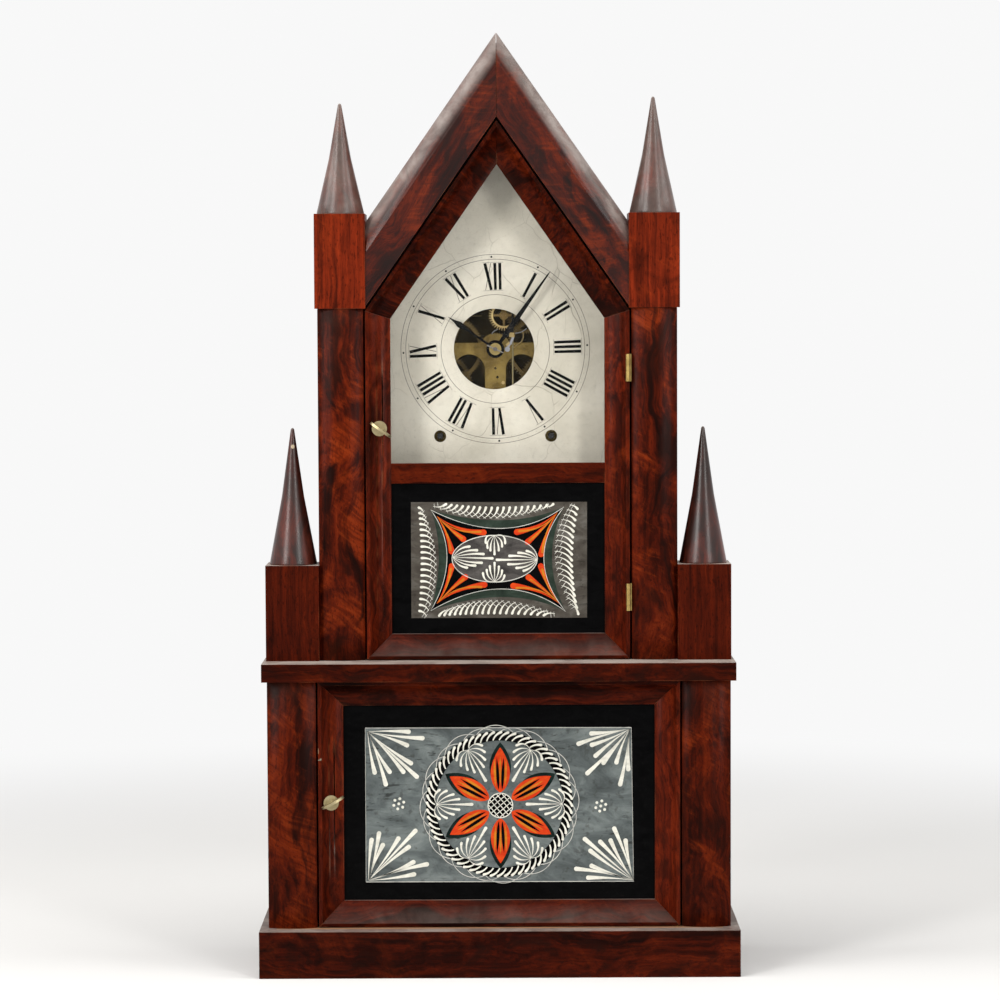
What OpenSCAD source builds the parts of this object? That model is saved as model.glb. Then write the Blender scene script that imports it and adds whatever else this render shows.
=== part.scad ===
// Double steeple shelf clock: veneered case in two stages, two glazed doors,
// open-centre dial, brass movement driven by a bow of steel leaves in the base.
// X is to the right, Y is to the back, Z is up. Millimetres.

/* [Base] */
// Width of the base plinth
base_w = 348; // [330:1:370]
// Depth of the base plinth
base_d = 118; // [112:1:140]
// Height of the base plinth
base_h = 34; // [28:1:45]
// Thickness of the plinth boards
base_board = 12; // [9:0.5:14]
// Thickness of the deck that the case stands on
deck_t = 10; // [8:0.5:14]

/* [Lower case] */
// Width of the lower case
lower_w = 336; // [324:1:340]
// Clear height between the plinth and the waist shelf
lower_h = 180.6; // [160:0.2:220]
// Step from the front of the plinth back to the crown of the lower columns
lower_setback = 13; // [10:0.5:16]
// Width of a lower column
lower_column_w = 35.5; // [30:0.5:40]
// Rise of a column's rounded front over its edges
column_bulge = 4; // [2:0.5:6]

/* [Waist shelf] */
// Width of the waist shelf
shelf_w = 342.4; // [338:0.2:348]
// Thickness of the waist shelf
shelf_t = 13; // [10:0.5:18]
// Step from the front of the plinth back to the front of the shelf
shelf_setback = 5; // [2:0.5:10]

/* [Upper case] */
// Width of the upper case
upper_w = 260.6; // [250:0.2:270]
// Height of the upper columns
upper_column_h = 255.7; // [235:0.1:300]
// Step from the front of the plinth back to the crown of the upper columns
upper_setback = 28; // [26:0.5:34]
// Width of an upper column
upper_column_w = 33.3; // [28:0.1:36]
// Height of the gable's peak over the tops of the columns
gable_rise = 199.1; // [180:0.1:220]
// Slope of the gable
gable_slope = 55.1; // [52:0.1:58]
// Width of the gable moulding's face
gable_w = 34.95; // [28:0.05:38]
// Radius of the gable moulding's outer edge
gable_round = 13; // [8:0.5:15]

/* [Boards] */
// Thickness of the case sides
side_t = 9; // [7:0.5:12]
// Thickness of the back boards
back_t = 6; // [4:0.5:8]
// Thickness of the face frames behind the doors
frame_t = 8; // [6:0.5:10]
// Thickness of the roof boards
roof_t = 8; // [6:0.5:10]
// Step from the back of the plinth to the back of the case
back_setback = 2; // [0.5:0.5:6]

/* [Blocks and steeples] */
// Height of a lower corner block
lower_block_h = 69.6; // [60:0.2:80]
// Width of a lower corner block
lower_block_w = 38.8; // [37:0.2:40]
// Height of an upper corner block
upper_block_h = 68.4; // [60:0.2:76]
// Width of an upper corner block
upper_block_w = 36.8; // [36:0.2:39]
// Depth of the corner blocks
block_d = 37; // [36:0.5:44]
// Diameter of a steeple at its foot
steeple_d = 34.4; // [26:0.2:35]
// Height of a lower steeple
lower_steeple_h = 99.5; // [80:0.5:130]
// Mean height of the upper steeples
upper_steeple_h = 82.3; // [70:0.1:110]
// Height of the right upper steeple over the left one
upper_steeple_step = 4.1; // [0:0.1:6]
// Diameter of the turned tenon under a steeple
tenon_d = 10; // [8:0.5:14]

/* [Doors] */
// Thickness of a door frame
door_t = 14; // [12:0.5:15]
// Width of a door stile or rail
rail_w = 18; // [16:0.2:22]
// Depth of the cove in a door frame
cove_depth = 8; // [5:0.5:8.5]
// Width of the flat edge outside the cove
cove_lip = 2.5; // [1.5:0.1:4]
// Height of the upper door's middle rail
mid_rail_h = 14.8; // [12:0.2:20]
// Height of the painted tablet's opening in the upper door
tablet_h = 109.8; // [95:0.2:125]
// Gap between a door and the case at its sides
door_gap = 1.3; // [1.2:0.1:2]
// Gap between the upper door and the gable moulding
gable_gap = 1.5; // [1.4:0.1:2.5]
// Thickness of the glass
glass_t = 2; // [1.5:0.1:2.5]
// Height of a barrel hinge of the upper door
hinge_h = 19.8; // [16:0.2:30]

/* [Dial and hands] */
// Sideways place of the movement and the dial
movement_x = -1.5; // [-4:0.1:4]
// Height of the hands' centre over the bottom of the upper door
dial_rise = 225.1; // [224:0.1:236]
// Diameter of the open centre of the dial
dial_hole_d = 59.2; // [50:0.2:60]
// Sideways step of the open centre from the hands' centre
dial_hole_step = -0.9; // [-1:0.1:1]
// Diameter of a winding hole
winding_hole_d = 8.8; // [8:0.2:11]
// Length of the minute hand
minute_hand_l = 70; // [60:0.5:72]
// Length of the hour hand
hour_hand_l = 42.3; // [38:0.5:50]
// Minute shown by the hands
shown_minute = 5.92; // [0:0.01:60]
// Hour angle shown by the hour hand, in degrees from twelve
shown_hour_angle = 304.5; // [0:0.5:360]

/* [Movement] */
// Distance of a winding arbor from the middle line
winding_x = 40.85; // [38:0.05:43]
// Distance of a winding arbor below the centre arbor
winding_drop = 64; // [63:0.1:67]
// Distance of a third arbor from the middle line
third_x = 32.9; // [32.5:0.05:34]
// Clear space between the plates
plate_gap = 26.2; // [26.2:0.1:27]
// Thickness of the brass plates
plate_t = 1.8; // [1.5:0.1:2]
// Length of the pendulum from its suspension to the middle of the bob
pendulum_l = 204; // [190:1:215]
// Diameter of the bob
bob_d = 38; // [30:1:44]

/* [Leaf spring] */
// Number of leaves
leaf_count = 7; // [4:1:8]
// Thickness of one leaf
leaf_t = 1.6; // [1.2:0.1:1.8]
// Width of the leaves
leaf_w = 34; // [26:1:38]
// Distance between the middle of the bow and its tips
leaf_reach = 112; // [100:1:116]
// Height of the tips over the middle of the bow
leaf_rise = 60; // [45:1:75]

/* [Hidden] */
$fn = 64;

base_front = -base_d / 2;
base_back = base_d / 2;
case_back = base_back - back_setback;
back_board_front = case_back - back_t;

// Width of a glued joint between boards of one piece
glue_line = 0.04;
// Seat gap between a door and the frame behind it, and between close parts of one body
seat = 0.3;

lower_front = base_front + lower_setback;
lower_door_front = lower_front + column_bulge - 1;
lower_door_back = lower_door_front + door_t;
lower_frame_front = lower_door_back + seat;
lower_frame_back = lower_frame_front + frame_t;
shelf_bottom = base_h + lower_h;
shelf_top = shelf_bottom + shelf_t;
shelf_front = base_front + shelf_setback;

upper_front = base_front + upper_setback;
upper_door_front = upper_front + column_bulge - 2;
upper_door_back = upper_door_front + door_t;
upper_frame_front = upper_door_back + seat;
upper_frame_back = upper_frame_front + frame_t;
column_top = shelf_top + upper_column_h;
peak = column_top + gable_rise;
block_front = upper_front - 1;

// Door outlines
door_foot_gap = 0.6;
lower_door_half = lower_w / 2 - lower_column_w - door_gap;
upper_door_half = upper_w / 2 - upper_column_w - door_gap;
lower_door_low = base_h + door_foot_gap;
lower_door_high = shelf_bottom - 1.2;
upper_door_low = shelf_top + door_foot_gap;
slope_k = tan(gable_slope);
gable_inner_apex = peak - gable_w / cos(gable_slope);
upper_door_apex = gable_inner_apex - gable_gap / cos(gable_slope);
upper_door_shoulder = upper_door_apex - upper_door_half * slope_k;
lower_door_outline = [
    [-lower_door_half, lower_door_low], [lower_door_half, lower_door_low],
    [lower_door_half, lower_door_high], [-lower_door_half, lower_door_high]
];
upper_door_outline = [
    [-upper_door_half, upper_door_low], [upper_door_half, upper_door_low],
    [upper_door_half, upper_door_shoulder], [0, upper_door_apex],
    [-upper_door_half, upper_door_shoulder]
];

// Rabbet behind the inner edge of a door frame
rabbet_w = 4;
rabbet_d = 3.5;
rail_edge_t = door_t - cove_depth;
cove_r = (pow(rail_w - cove_lip, 2) + pow(cove_depth, 2)) / (2 * cove_depth);
tablet_top = upper_door_low + rail_w + tablet_h;
mid_rail_top = tablet_top + mid_rail_h;
lower_glass_front = lower_door_back - rabbet_d;
upper_glass_front = upper_door_back - rabbet_d;

// How far a face frame shows inside the door's edge
frame_reveal = 5;

// Roof
roof_drop = 4;
roof_outer_apex = peak - roof_drop / cos(gable_slope);
roof_inner_apex = roof_outer_apex - roof_t / cos(gable_slope);
upper_inner_half = upper_w / 2 - side_t;
lower_inner_half = lower_w / 2 - side_t;

// Corner blocks
lower_block_x = upper_w / 2;
upper_block_out = (upper_block_w - upper_column_w) / 2;
upper_block_x = upper_w / 2 - upper_column_w - upper_block_out;
tenon_l = 14;
tenon_fit = 0.05;

// Glue line that shows where the gable mouldings meet
peak_mitre = 0.3;

// Barrel hinges of the upper door: the barrel lies in front of the door's edge,
// and its leaves bend back into the gap beside the column
hinge_pin_r = 0.8;
hinge_fit = 0.05;
hinge_inset = 1.3;
knuckle_r = 1.65;
knuckle_gap = 0.15;
leaf_plate_t = 0.5;
leaf_clear = 0.05;
knuckle_count = 5;
knuckle_clear = 0.15;
hinge_leaf_depth = 12;
upper_hinge = [upper_door_half - hinge_inset, upper_door_front - knuckle_r - knuckle_gap];
upper_hinge_levels = [upper_door_low + 45, upper_door_low + 211.6];

// Pin hinges of the lower door: a leaf with a pin is let into the door's top and bottom
// edges, and a leaf with a hole is let into the shelf and the deck
door_pin_r = 1;
door_pin_fit = 0.05;
door_pin_reach = 4;
door_pin_inset = 2.2;
pin_leaf_l = 26;
pin_leaf_w = 6;
pin_leaf_t = 1;
pin_leaf_edge = 1.6;
let_in_fit = 0.05;
back_chamfer = 0.5;
lower_hinge = [lower_door_half - door_pin_inset, lower_door_front + door_pin_inset];

// Turn latches
latch_inset = 10;
latch_r = 5.5;
latch_wing_l = 18;
latch_wing_step = 1.4;
latch_wing_h = 8;
latch_wing_t = 1.8;
latch_spindle_r = 1.5;
latch_fit = 0.05;
latch_blade_l = 9;
latch_blade_w = 4;
latch_blade_t = 1.6;
latch_clear = 0.5;
upper_latch_at = [-upper_door_half + latch_inset, upper_door_low + 168.3];
lower_latch_at = [-lower_door_half + latch_inset - 0.6, lower_door_low + 91.1];
upper_latch_angle = -36;
lower_latch_angle = 28.5;

// Depth layers of the movement and the dial, counted from the back board that carries them
batten_t = 3.2;
dial_room = 9.2;
plate_back = back_board_front - batten_t;
back_plate_y = plate_back - plate_t;
train_y = back_plate_y - plate_gap;
front_plate_y = train_y - plate_t;
dial_back = front_plate_y - dial_room;
dial_t = 0.8;
dial_front = dial_back - dial_t;

// Movement centre
mz = upper_door_low + dial_rise;
mx = movement_x;
winding_at = [winding_x, -winding_drop];
third_at = [third_x, 0];
escape_at = [6.4, 24.7];
verge_at = [12.8, 39];
suspension_at = [12.8, 50];
crutch_drop = 29.6;
minute_wheel_at = [0, -14.4];
hammer_at = [-5, -92];
plate_half_w = 72;
plate_low = -100;
plate_high = 56;
plate_corner_r = 8;
pillar_places = [[-60, 48], [60, 48], [-66, -94], [66, -94]];

// Gear modules and tooth counts
coarse = 0.8;
medium = 0.7;
fine = 0.6;
great_teeth = 80;
second_teeth = 76;
third_teeth = 68;
fourth_teeth = 44;
low_pinion = 10;
high_pinion = 8;
center_pinion = round(2 * third_x / medium) - third_teeth;
cannon_teeth = 12;
minute_teeth = 36;
minute_pinion = 10;
hour_teeth = 40;
minute_module = 2 * norm(minute_wheel_at) / (cannon_teeth + minute_teeth);
hour_module = 2 * norm(minute_wheel_at) / (minute_pinion + hour_teeth);
escape_teeth = 36;
escape_r = 11.4;

function pitch_sum(a, b, m) = (a + b) * m / 2;
function angle_of(v) = atan2(v[1], v[0]);
function unit(v) = v / norm(v);
function left_of(v) = [-v[1], v[0]];
// Point at distance ra from a and rb from b, on the chosen side of the line from a to b
function meet(a, ra, b, rb, side) =
    let (d = norm(b - a), s = (ra * ra - rb * rb + d * d) / (2 * d), h = sqrt(max(0, ra * ra - s * s)))
    a + s * unit(b - a) + side * h * left_of(unit(b - a));

second_at = meet(winding_at, pitch_sum(great_teeth, low_pinion, coarse),
    third_at, pitch_sum(second_teeth, low_pinion, medium), -1);
fourth_at = meet(third_at, pitch_sum(third_teeth, high_pinion, medium),
    escape_at, pitch_sum(fourth_teeth, high_pinion, fine), -1);

// Turn of a gear with nb teeth that meshes with one of na teeth turned by turn_a,
// where phi is the direction from the first to the second
function mesh_turn(turn_a, na, nb, phi) = phi + 180 + 180 / nb - (turn_a - phi) * na / nb;

third_turn = mesh_turn(0, center_pinion, third_teeth, angle_of(third_at));
second_turn = mesh_turn(third_turn, low_pinion, second_teeth, angle_of(second_at - third_at));
great_turn = mesh_turn(second_turn, low_pinion, great_teeth, angle_of(winding_at - second_at));
fourth_turn = mesh_turn(third_turn, third_teeth, high_pinion, angle_of(fourth_at - third_at));
escape_turn = mesh_turn(fourth_turn, fourth_teeth, high_pinion, angle_of(escape_at - fourth_at));
minute_turn = mesh_turn(0, cannon_teeth, minute_teeth, angle_of(minute_wheel_at));
hour_turn = mesh_turn(minute_turn, minute_pinion, hour_teeth, angle_of(-minute_wheel_at));

// Hands
minute_hand_y = dial_front - 6.5;
hour_hand_y = dial_front - 3.6;
hand_t = 0.8;
pipe_r = 3;
pipe_fit = 0.05;
// Tilt of the taper pin, and its distance in front of the minute hand
taper_angle = 25;
taper_ahead = 2.7;

// Openings of the strap plate, from the movement's centre
strap_top = 4.5;
strap_low = -4;
leg_w = 15.3;
hub_r = 11.4;
window_r = 30.8;
lower_window_r = 11.65;

// Escapement
escape_wheel_y = front_plate_y - 4.4;
escape_wheel_t = 1.2;
pallet_gap = 1.3;
pallet_angle = 52;
pallet_t = 1.3;
crutch_y = front_plate_y - 5.8;
rod_plane = dial_back + 1.9;
pendulum_r = 0.7;

// Gong and hammer
gong_at = [14, -160];
gong_y = back_plate_y - 6;
gong_wire_r = 1.4;
gong_turns = 4;
gong_pitch = 5;
gong_start_r = 10;
gong_stud_r = 2.6;
hammer_head_r = 4.2;
hammer_rest = 2;

// Depth layers of the trains, counted from the back of the front plate
hour_layer = 0.7;
minute_layer = 2.9;
third_layer = 7.2;
fourth_layer = 10.7;
// The pin wheel runs behind the centre pinion, and the fly's blades behind the pins
pin_layer = 9.4;
fly_layer = 14.2;
second_layer = 15.2;
great_layer = 18.2;
ratchet_layer = 21;
wheel_t = 1.4;
great_t = 2;
pinion_over = 0.4;

bore_gap = 0.02;
arbor_r = 1.5;
pivot_r = 0.9;
pivot_fit = 0.05;
winding_arbor_r = 2.6;
winding_square = 3.6;
drum_r = 10;
drum_l = 11.5;
drum_y = train_y + 2.7;
cord_r = 1;
cord_layer = drum_y + 8.8;
cord_slot_x = 86;

// Leaf spring
leaf_gap = 0.05;
leaf_pitch = leaf_t + leaf_gap;
leaf_r = (leaf_reach * leaf_reach + leaf_rise * leaf_rise) / (2 * leaf_rise);
leaf_y = cord_layer;
leaf_seat = base_h + 7;
leaf_top = leaf_seat + leaf_count * leaf_pitch;
leaf_span = asin(leaf_reach / leaf_r);
// Share by which each leaf is shorter than the one above it
leaf_shortening = 0.09;
leaf_bolt_r = 3;
bolt_fit = 0.3;
nut_t = 5;
clip_l = 8;
clip_wall = 1.5;
clip_fit = 0.15;
clip_angle = leaf_span - 5.2 * 180 / (PI * leaf_r);
hook_rise = 6.5;
hook_pin_r = 1.2;

wood_dark = [0.32, 0.08, 0.04];
wood_plain = [0.55, 0.35, 0.2];
brass = [0.8, 0.62, 0.25];
steel = [0.6, 0.62, 0.65];
iron = [0.15, 0.15, 0.16];

// General helpers

// A plate that fills y0 to y0 + t; its outline is drawn in X and Z
module plate_y(y0, t) {
    translate([0, y0 + t, 0]) rotate([90, 0, 0]) linear_extrude(t) children();
}

// A round bar along Y from y0, l long, at (x, z)
module rod_y(x, y0, z, r, l) {
    translate([x, y0 + l, z]) rotate([90, 0, 0]) cylinder(r = r, h = l);
}

// A box between two corners
module box(low, high) {
    translate(low) cube(high - low);
}

// Children on both sides of the middle plane
module both_sides() {
    children();
    mirror([1, 0, 0]) children();
}

module round_rect(low, high, r) {
    translate([low[0] + r, low[1]]) square([high[0] - low[0] - 2 * r, high[1] - low[1]]);
    translate([low[0], low[1] + r]) square([high[0] - low[0], high[1] - low[1] - 2 * r]);
    for (x = [low[0] + r, high[0] - r], y = [low[1] + r, high[1] - r])
        translate([x, y]) circle(r);
}

// A flat bar of width w between two points of the drawing plane
module bar(a, b, w) {
    s = left_of(unit(b - a)) * w / 2;
    polygon([a + s, a - s, b - s, b + s]);
}

// The outline drawn w inside a closed outline that runs to the left
function inset(p, w) = [
    for (i = [0 : len(p) - 1])
        let (n = len(p),
             a = left_of(unit(p[i] - p[(i + n - 1) % n])),
             b = left_of(unit(p[(i + 1) % n] - p[i])))
        p[i] + w * (a + b) / (1 + a * b)
];

// A profile drawn as (inward, forward) and run from a to b with its back at y_back
module run(a, b, y_back) {
    u = unit(b - a);
    n = left_of(u);
    multmatrix([
        [n[0], 0, u[0], a[0]],
        [0, -1, 0, y_back],
        [n[1], 0, u[1], a[1]],
        [0, 0, 0, 1]
    ]) linear_extrude(norm(b - a)) children();
}

// Glue lines where the sides of a closed outline meet
module joint_cuts(outer, inner) {
    for (i = [0 : len(outer) - 1]) {
        u = unit(inner[i] - outer[i]);
        bar(outer[i] - u, inner[i] + u, glue_line);
    }
}

// A frame of flat boards, mitred at its corners
module board_frame(outer, inner, y, t) {
    n = len(outer);
    plate_y(y, t) difference() {
        for (i = [0 : n - 1])
            polygon([outer[i], outer[(i + 1) % n], inner[(i + 1) % n], inner[i]]);
        joint_cuts(outer, inner);
    }
}

// One mitred side of a frame: the profile that is given, cut to the frame's corners
module frame_side(outline, i, w, y_back, t) {
    n = len(outline);
    inner = inset(outline, w);
    j = (i + 1) % n;
    intersection() {
        run(outline[i], outline[j], y_back) children();
        plate_y(y_back - t - 1, t + 2)
            polygon([outline[i], outline[j], inner[j], inner[i]]);
    }
}

// Case

module base_front_board() {
    h = base_w / 2;
    color(wood_dark) linear_extrude(base_h) polygon([
        [-h, base_front], [h, base_front],
        [h - base_board, base_front + base_board], [-h + base_board, base_front + base_board]
    ]);
}

module base_side_boards() {
    h = base_w / 2;
    color(wood_dark) both_sides() linear_extrude(base_h) polygon([
        [h, base_front], [h, base_back],
        [h - base_board, base_back], [h - base_board, base_front + base_board]
    ]);
}

module base_back_rail() {
    h = base_w / 2 - base_board;
    color(wood_plain) box([-h, base_back - base_board, 0], [h, base_back, base_h]);
}

module base_deck() {
    h = base_w / 2 - base_board;
    color(wood_plain) difference() {
        box([-h, base_front + base_board, base_h - deck_t], [h, base_back - base_board, base_h]);
        translate([0, leaf_y, 0]) cylinder(r = leaf_bolt_r + bolt_fit, h = base_h + 1);
        translate([0, 0, base_h]) mirror([0, 0, 1]) case_pin_leaf_recess();
    }
}

// Everything over the underside of the roof
module above_roof(apex) {
    far = 2 * upper_w;
    plate_y(base_front * 2, base_d * 2) polygon([
        [0, apex], [far, apex - far * slope_k], [far, peak + 10],
        [-far, peak + 10], [-far, apex - far * slope_k]
    ]);
}

module upper_block_boxes() {
    both_sides() box(
        [upper_block_x, block_front, column_top],
        [upper_block_x + upper_block_w, block_front + block_d, column_top + upper_block_h]
    );
}

module case_sides() {
    color(wood_dark) {
        both_sides() box(
            [lower_w / 2 - side_t, lower_frame_back, base_h],
            [lower_w / 2, case_back, shelf_bottom]
        );
        difference() {
            both_sides() box(
                [upper_w / 2 - side_t, upper_frame_back, shelf_top],
                [upper_w / 2, case_back, column_top + 20]
            );
            above_roof(roof_inner_apex);
            upper_block_boxes();
        }
    }
}

module case_backs() {
    color(wood_plain) {
        box([-lower_inner_half, back_board_front, base_h], [lower_inner_half, case_back, shelf_bottom]);
        plate_y(back_board_front, back_t) polygon([
            [-upper_inner_half, shelf_top], [upper_inner_half, shelf_top],
            [upper_inner_half, roof_inner_apex - upper_inner_half * slope_k],
            [0, roof_inner_apex],
            [-upper_inner_half, roof_inner_apex - upper_inner_half * slope_k]
        ]);
    }
}

module lower_face_frame() {
    h = lower_w / 2;
    outer = [[-h, base_h], [h, base_h], [h, shelf_bottom], [-h, shelf_bottom]];
    inner = inset(lower_door_outline, frame_reveal);
    color(wood_dark) board_frame(outer, inner, lower_frame_front, frame_t);
}

module upper_face_frame() {
    h = upper_w / 2;
    outer = [
        [-h, shelf_top], [h, shelf_top], [h, roof_outer_apex - h * slope_k],
        [0, roof_outer_apex], [-h, roof_outer_apex - h * slope_k]
    ];
    inner = inset(upper_door_outline, frame_reveal);
    color(wood_dark) difference() {
        board_frame(outer, inner, upper_frame_front, frame_t);
        upper_block_boxes();
    }
}

// A post with a rounded front, drawn in X and Y from its outer front corner
module column_section(w, d) {
    r = (w * w / 4 + column_bulge * column_bulge) / (2 * column_bulge);
    intersection() {
        square([w, d]);
        translate([w / 2, r]) circle(r);
    }
}

module lower_columns() {
    color(wood_dark) both_sides()
        translate([lower_w / 2 - lower_column_w, lower_front, base_h])
            linear_extrude(lower_h) column_section(lower_column_w, lower_frame_front - lower_front);
}

module upper_columns() {
    color(wood_dark) both_sides()
        translate([upper_w / 2 - upper_column_w, upper_front, shelf_top])
            linear_extrude(upper_column_h) column_section(upper_column_w, upper_frame_front - upper_front);
}

module waist_shelf() {
    color(wood_dark) difference() {
        box([-shelf_w / 2, shelf_front, shelf_bottom], [shelf_w / 2, case_back, shelf_top]);
        for (side = [-1, 1])
            translate([side * cord_slot_x, cord_layer, shelf_bottom - 1])
                linear_extrude(shelf_t + 2) round_rect([-15, -5], [15, 5], 4);
        translate([0, 0, shelf_bottom]) case_pin_leaf_recess();
    }
}

module corner_blocks() {
    color(wood_dark) difference() {
        union() {
            both_sides() box(
                [lower_block_x, block_front, shelf_top],
                [lower_block_x + lower_block_w, block_front + block_d, shelf_top + lower_block_h]
            );
            upper_block_boxes();
        }
        steeple_places() cylinder(r = tenon_d / 2 + tenon_fit, h = 2 * tenon_l, center = true);
    }
}

// Children at the tops of the four blocks; $steeple_h is the height there
module steeple_places() {
    y = block_front + block_d / 2;
    for (side = [-1, 1]) {
        translate([side * (lower_block_x + lower_block_w / 2), y, shelf_top + lower_block_h]) {
            $steeple_h = lower_steeple_h;
            children();
        }
        translate([side * (upper_block_x + upper_block_w / 2), y, column_top + upper_block_h]) {
            $steeple_h = upper_steeple_h + side * upper_steeple_step / 2;
            children();
        }
    }
}

module steeples() {
    tip_r = 1.3;
    color(wood_dark) steeple_places() rotate_extrude() polygon([
        [0, 0.5 - tenon_l], [tenon_d / 2, 0.5 - tenon_l], [tenon_d / 2, 0],
        [steeple_d / 2, 0], [steeple_d / 2, 1.2], [steeple_d * 0.235, $steeple_h * 0.5],
        [tip_r, $steeple_h - tip_r], [tip_r * 0.6, $steeple_h - 0.4], [0, $steeple_h]
    ]);
}

// Section of a gable moulding: flat face with a large rounded outer edge
module gable_profile(t) {
    translate([gable_round, 0]) square([gable_w - gable_round, t]);
    square([gable_w, t - gable_round]);
    intersection() {
        square([gable_w, t]);
        translate([gable_round, t - gable_round]) circle(gable_round);
    }
}

module gable_mouldings() {
    t = upper_frame_front - upper_front;
    e = upper_block_x;
    color(wood_dark) both_sides() intersection() {
        run([e * 1.3, peak - e * 1.3 * slope_k], [-e * 0.2, peak + e * 0.2 * slope_k], upper_frame_front)
            gable_profile(t);
        plate_y(upper_front - 1, t + 2) polygon([
            [e, peak - e * slope_k - 1], [e, peak], [peak_mitre / 2, peak + 1],
            [peak_mitre / 2, gable_inner_apex - 1], [e, gable_inner_apex - e * slope_k - 1]
        ]);
    }
}

module roof_boards() {
    h = upper_w / 2;
    color(wood_plain) difference() {
        both_sides() plate_y(upper_frame_back, case_back - upper_frame_back) polygon([
            [glue_line / 2, roof_inner_apex], [glue_line / 2, roof_outer_apex],
            [h, roof_outer_apex - h * slope_k], [h, roof_inner_apex - h * slope_k]
        ]);
        upper_block_boxes();
    }
}

// Doors

// Section of a door frame: flat edge, cove down to the glass, rabbet behind
module cove_section() {
    difference() {
        square([rail_w, door_t]);
        translate([rail_w, rail_edge_t + cove_r]) circle(cove_r);
        translate([rail_w - rabbet_w, -1]) square([rabbet_w + 1, rabbet_d + 1]);
    }
}

module upper_door_side(i) {
    frame_side(upper_door_outline, i, rail_w, upper_door_back, door_t) cove_section();
}

module lower_door_side(i) {
    frame_side(lower_door_outline, i, rail_w, lower_door_back, door_t) cove_section();
}

module latch_bore(at, y_front) {
    rod_y(at[0], y_front - 1, at[1], latch_spindle_r + latch_fit, door_t + 2);
}

module upper_door_stiles() {
    color(wood_dark) difference() {
        union() {
            upper_door_side(1);
            upper_door_side(4);
        }
        latch_bore(upper_latch_at, upper_door_front);
    }
}

module upper_door_gable_rails() {
    color(wood_dark) difference() {
        union() {
            upper_door_side(2);
            upper_door_side(3);
        }
        box([-glue_line / 2, upper_door_front - 1, upper_door_low],
            [glue_line / 2, upper_door_back + 1, peak]);
    }
}

module upper_door_bottom_rail() {
    color(wood_dark) upper_door_side(0);
}

module upper_door_mid_rail() {
    h = upper_door_half - rail_w;
    lip_y = upper_door_back - rail_edge_t;
    color(wood_dark) {
        box([-h, lip_y, tablet_top], [h, upper_glass_front, mid_rail_top]);
        box([-h - rabbet_w, upper_glass_front, tablet_top + rabbet_w],
            [h + rabbet_w, upper_door_back, mid_rail_top - rabbet_w]);
    }
}

module dial_glass() {
    edge = inset(upper_door_outline, rail_w - rabbet_w + seat);
    low = mid_rail_top - rabbet_w + seat;
    color([0.8, 0.88, 0.88, 0.3]) plate_y(upper_glass_front, glass_t)
        polygon([[edge[0][0], low], [edge[1][0], low], edge[2], edge[3], edge[4]]);
}

module upper_tablet() {
    edge = inset(upper_door_outline, rail_w - rabbet_w + seat);
    high = tablet_top + rabbet_w - seat;
    color([0.1, 0.1, 0.1]) plate_y(upper_glass_front, glass_t)
        polygon([edge[0], edge[1], [edge[1][0], high], [edge[0][0], high]]);
}

module lower_door_stiles() {
    color(wood_dark) difference() {
        union() {
            lower_door_side(1);
            lower_door_side(3);
        }
        latch_bore(lower_latch_at, lower_door_front);
        lower_door_hinge_cuts();
    }
}

module lower_door_rails() {
    color(wood_dark) difference() {
        union() {
            lower_door_side(0);
            lower_door_side(2);
        }
        lower_door_hinge_cuts();
    }
}

module lower_tablet() {
    color([0.1, 0.1, 0.1]) plate_y(lower_glass_front, glass_t)
        polygon(inset(lower_door_outline, rail_w - rabbet_w + seat));
}

// Leaf and knuckles of a barrel hinge; side -1 is on the door, side 1 on the case
module hinge_leaf(z, side) {
    k = hinge_h / knuckle_count;
    own = side < 0 ? 1 : 0;
    axis = upper_hinge;
    x = upper_door_half + (side < 0 ? leaf_clear : door_gap - leaf_clear - leaf_plate_t);
    fold_y = axis[1] + knuckle_r;
    leaf_y0 = upper_door_front;
    difference() {
        union() {
            box([x, leaf_y0, z - hinge_h / 2],
                [x + leaf_plate_t, leaf_y0 + hinge_leaf_depth, z + hinge_h / 2]);
            for (i = [own : 2 : knuckle_count - 1]) {
                low = z - hinge_h / 2 + i * k + knuckle_clear / 2;
                high = low + k - knuckle_clear;
                translate([axis[0], axis[1], low]) cylinder(r = knuckle_r, h = high - low);
                box([axis[0], fold_y - leaf_plate_t, low], [x + leaf_plate_t, fold_y, high]);
                box([x, fold_y - leaf_plate_t, low], [x + leaf_plate_t, leaf_y0 + 1, high]);
            }
        }
        translate([axis[0], axis[1], z - hinge_h]) cylinder(r = hinge_pin_r + hinge_fit, h = 2 * hinge_h);
    }
}

module hinge_pin(z) {
    translate([upper_hinge[0], upper_hinge[1], z - hinge_h / 2]) cylinder(r = hinge_pin_r, h = hinge_h);
}

module upper_door_hinge_leaves() {
    color(brass) for (z = upper_hinge_levels) hinge_leaf(z, -1);
}

// Outline of a pin hinge's leaf, which runs inward from beside the pin, grown by the fit it is let in with
module pin_leaf_outline(fit = 0) {
    translate([lower_hinge[0] + pin_leaf_edge - pin_leaf_l - fit, lower_hinge[1] - pin_leaf_edge - fit])
        square([pin_leaf_l + 2 * fit, pin_leaf_w + 2 * fit]);
}

// Leaf in the door's edge at height 0, with its pin down to the case leaf and through it
module door_pin_leaf(gap) {
    linear_extrude(pin_leaf_t) pin_leaf_outline();
    translate([lower_hinge[0], lower_hinge[1], -gap - door_pin_reach])
        cylinder(r = door_pin_r, h = gap + door_pin_reach + pin_leaf_t);
}

// Leaf let into the case over height 0
module case_pin_leaf() {
    difference() {
        linear_extrude(pin_leaf_t) pin_leaf_outline();
        translate([lower_hinge[0], lower_hinge[1], -1])
            cylinder(r = door_pin_r + door_pin_fit, h = pin_leaf_t + 2);
    }
}

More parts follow.
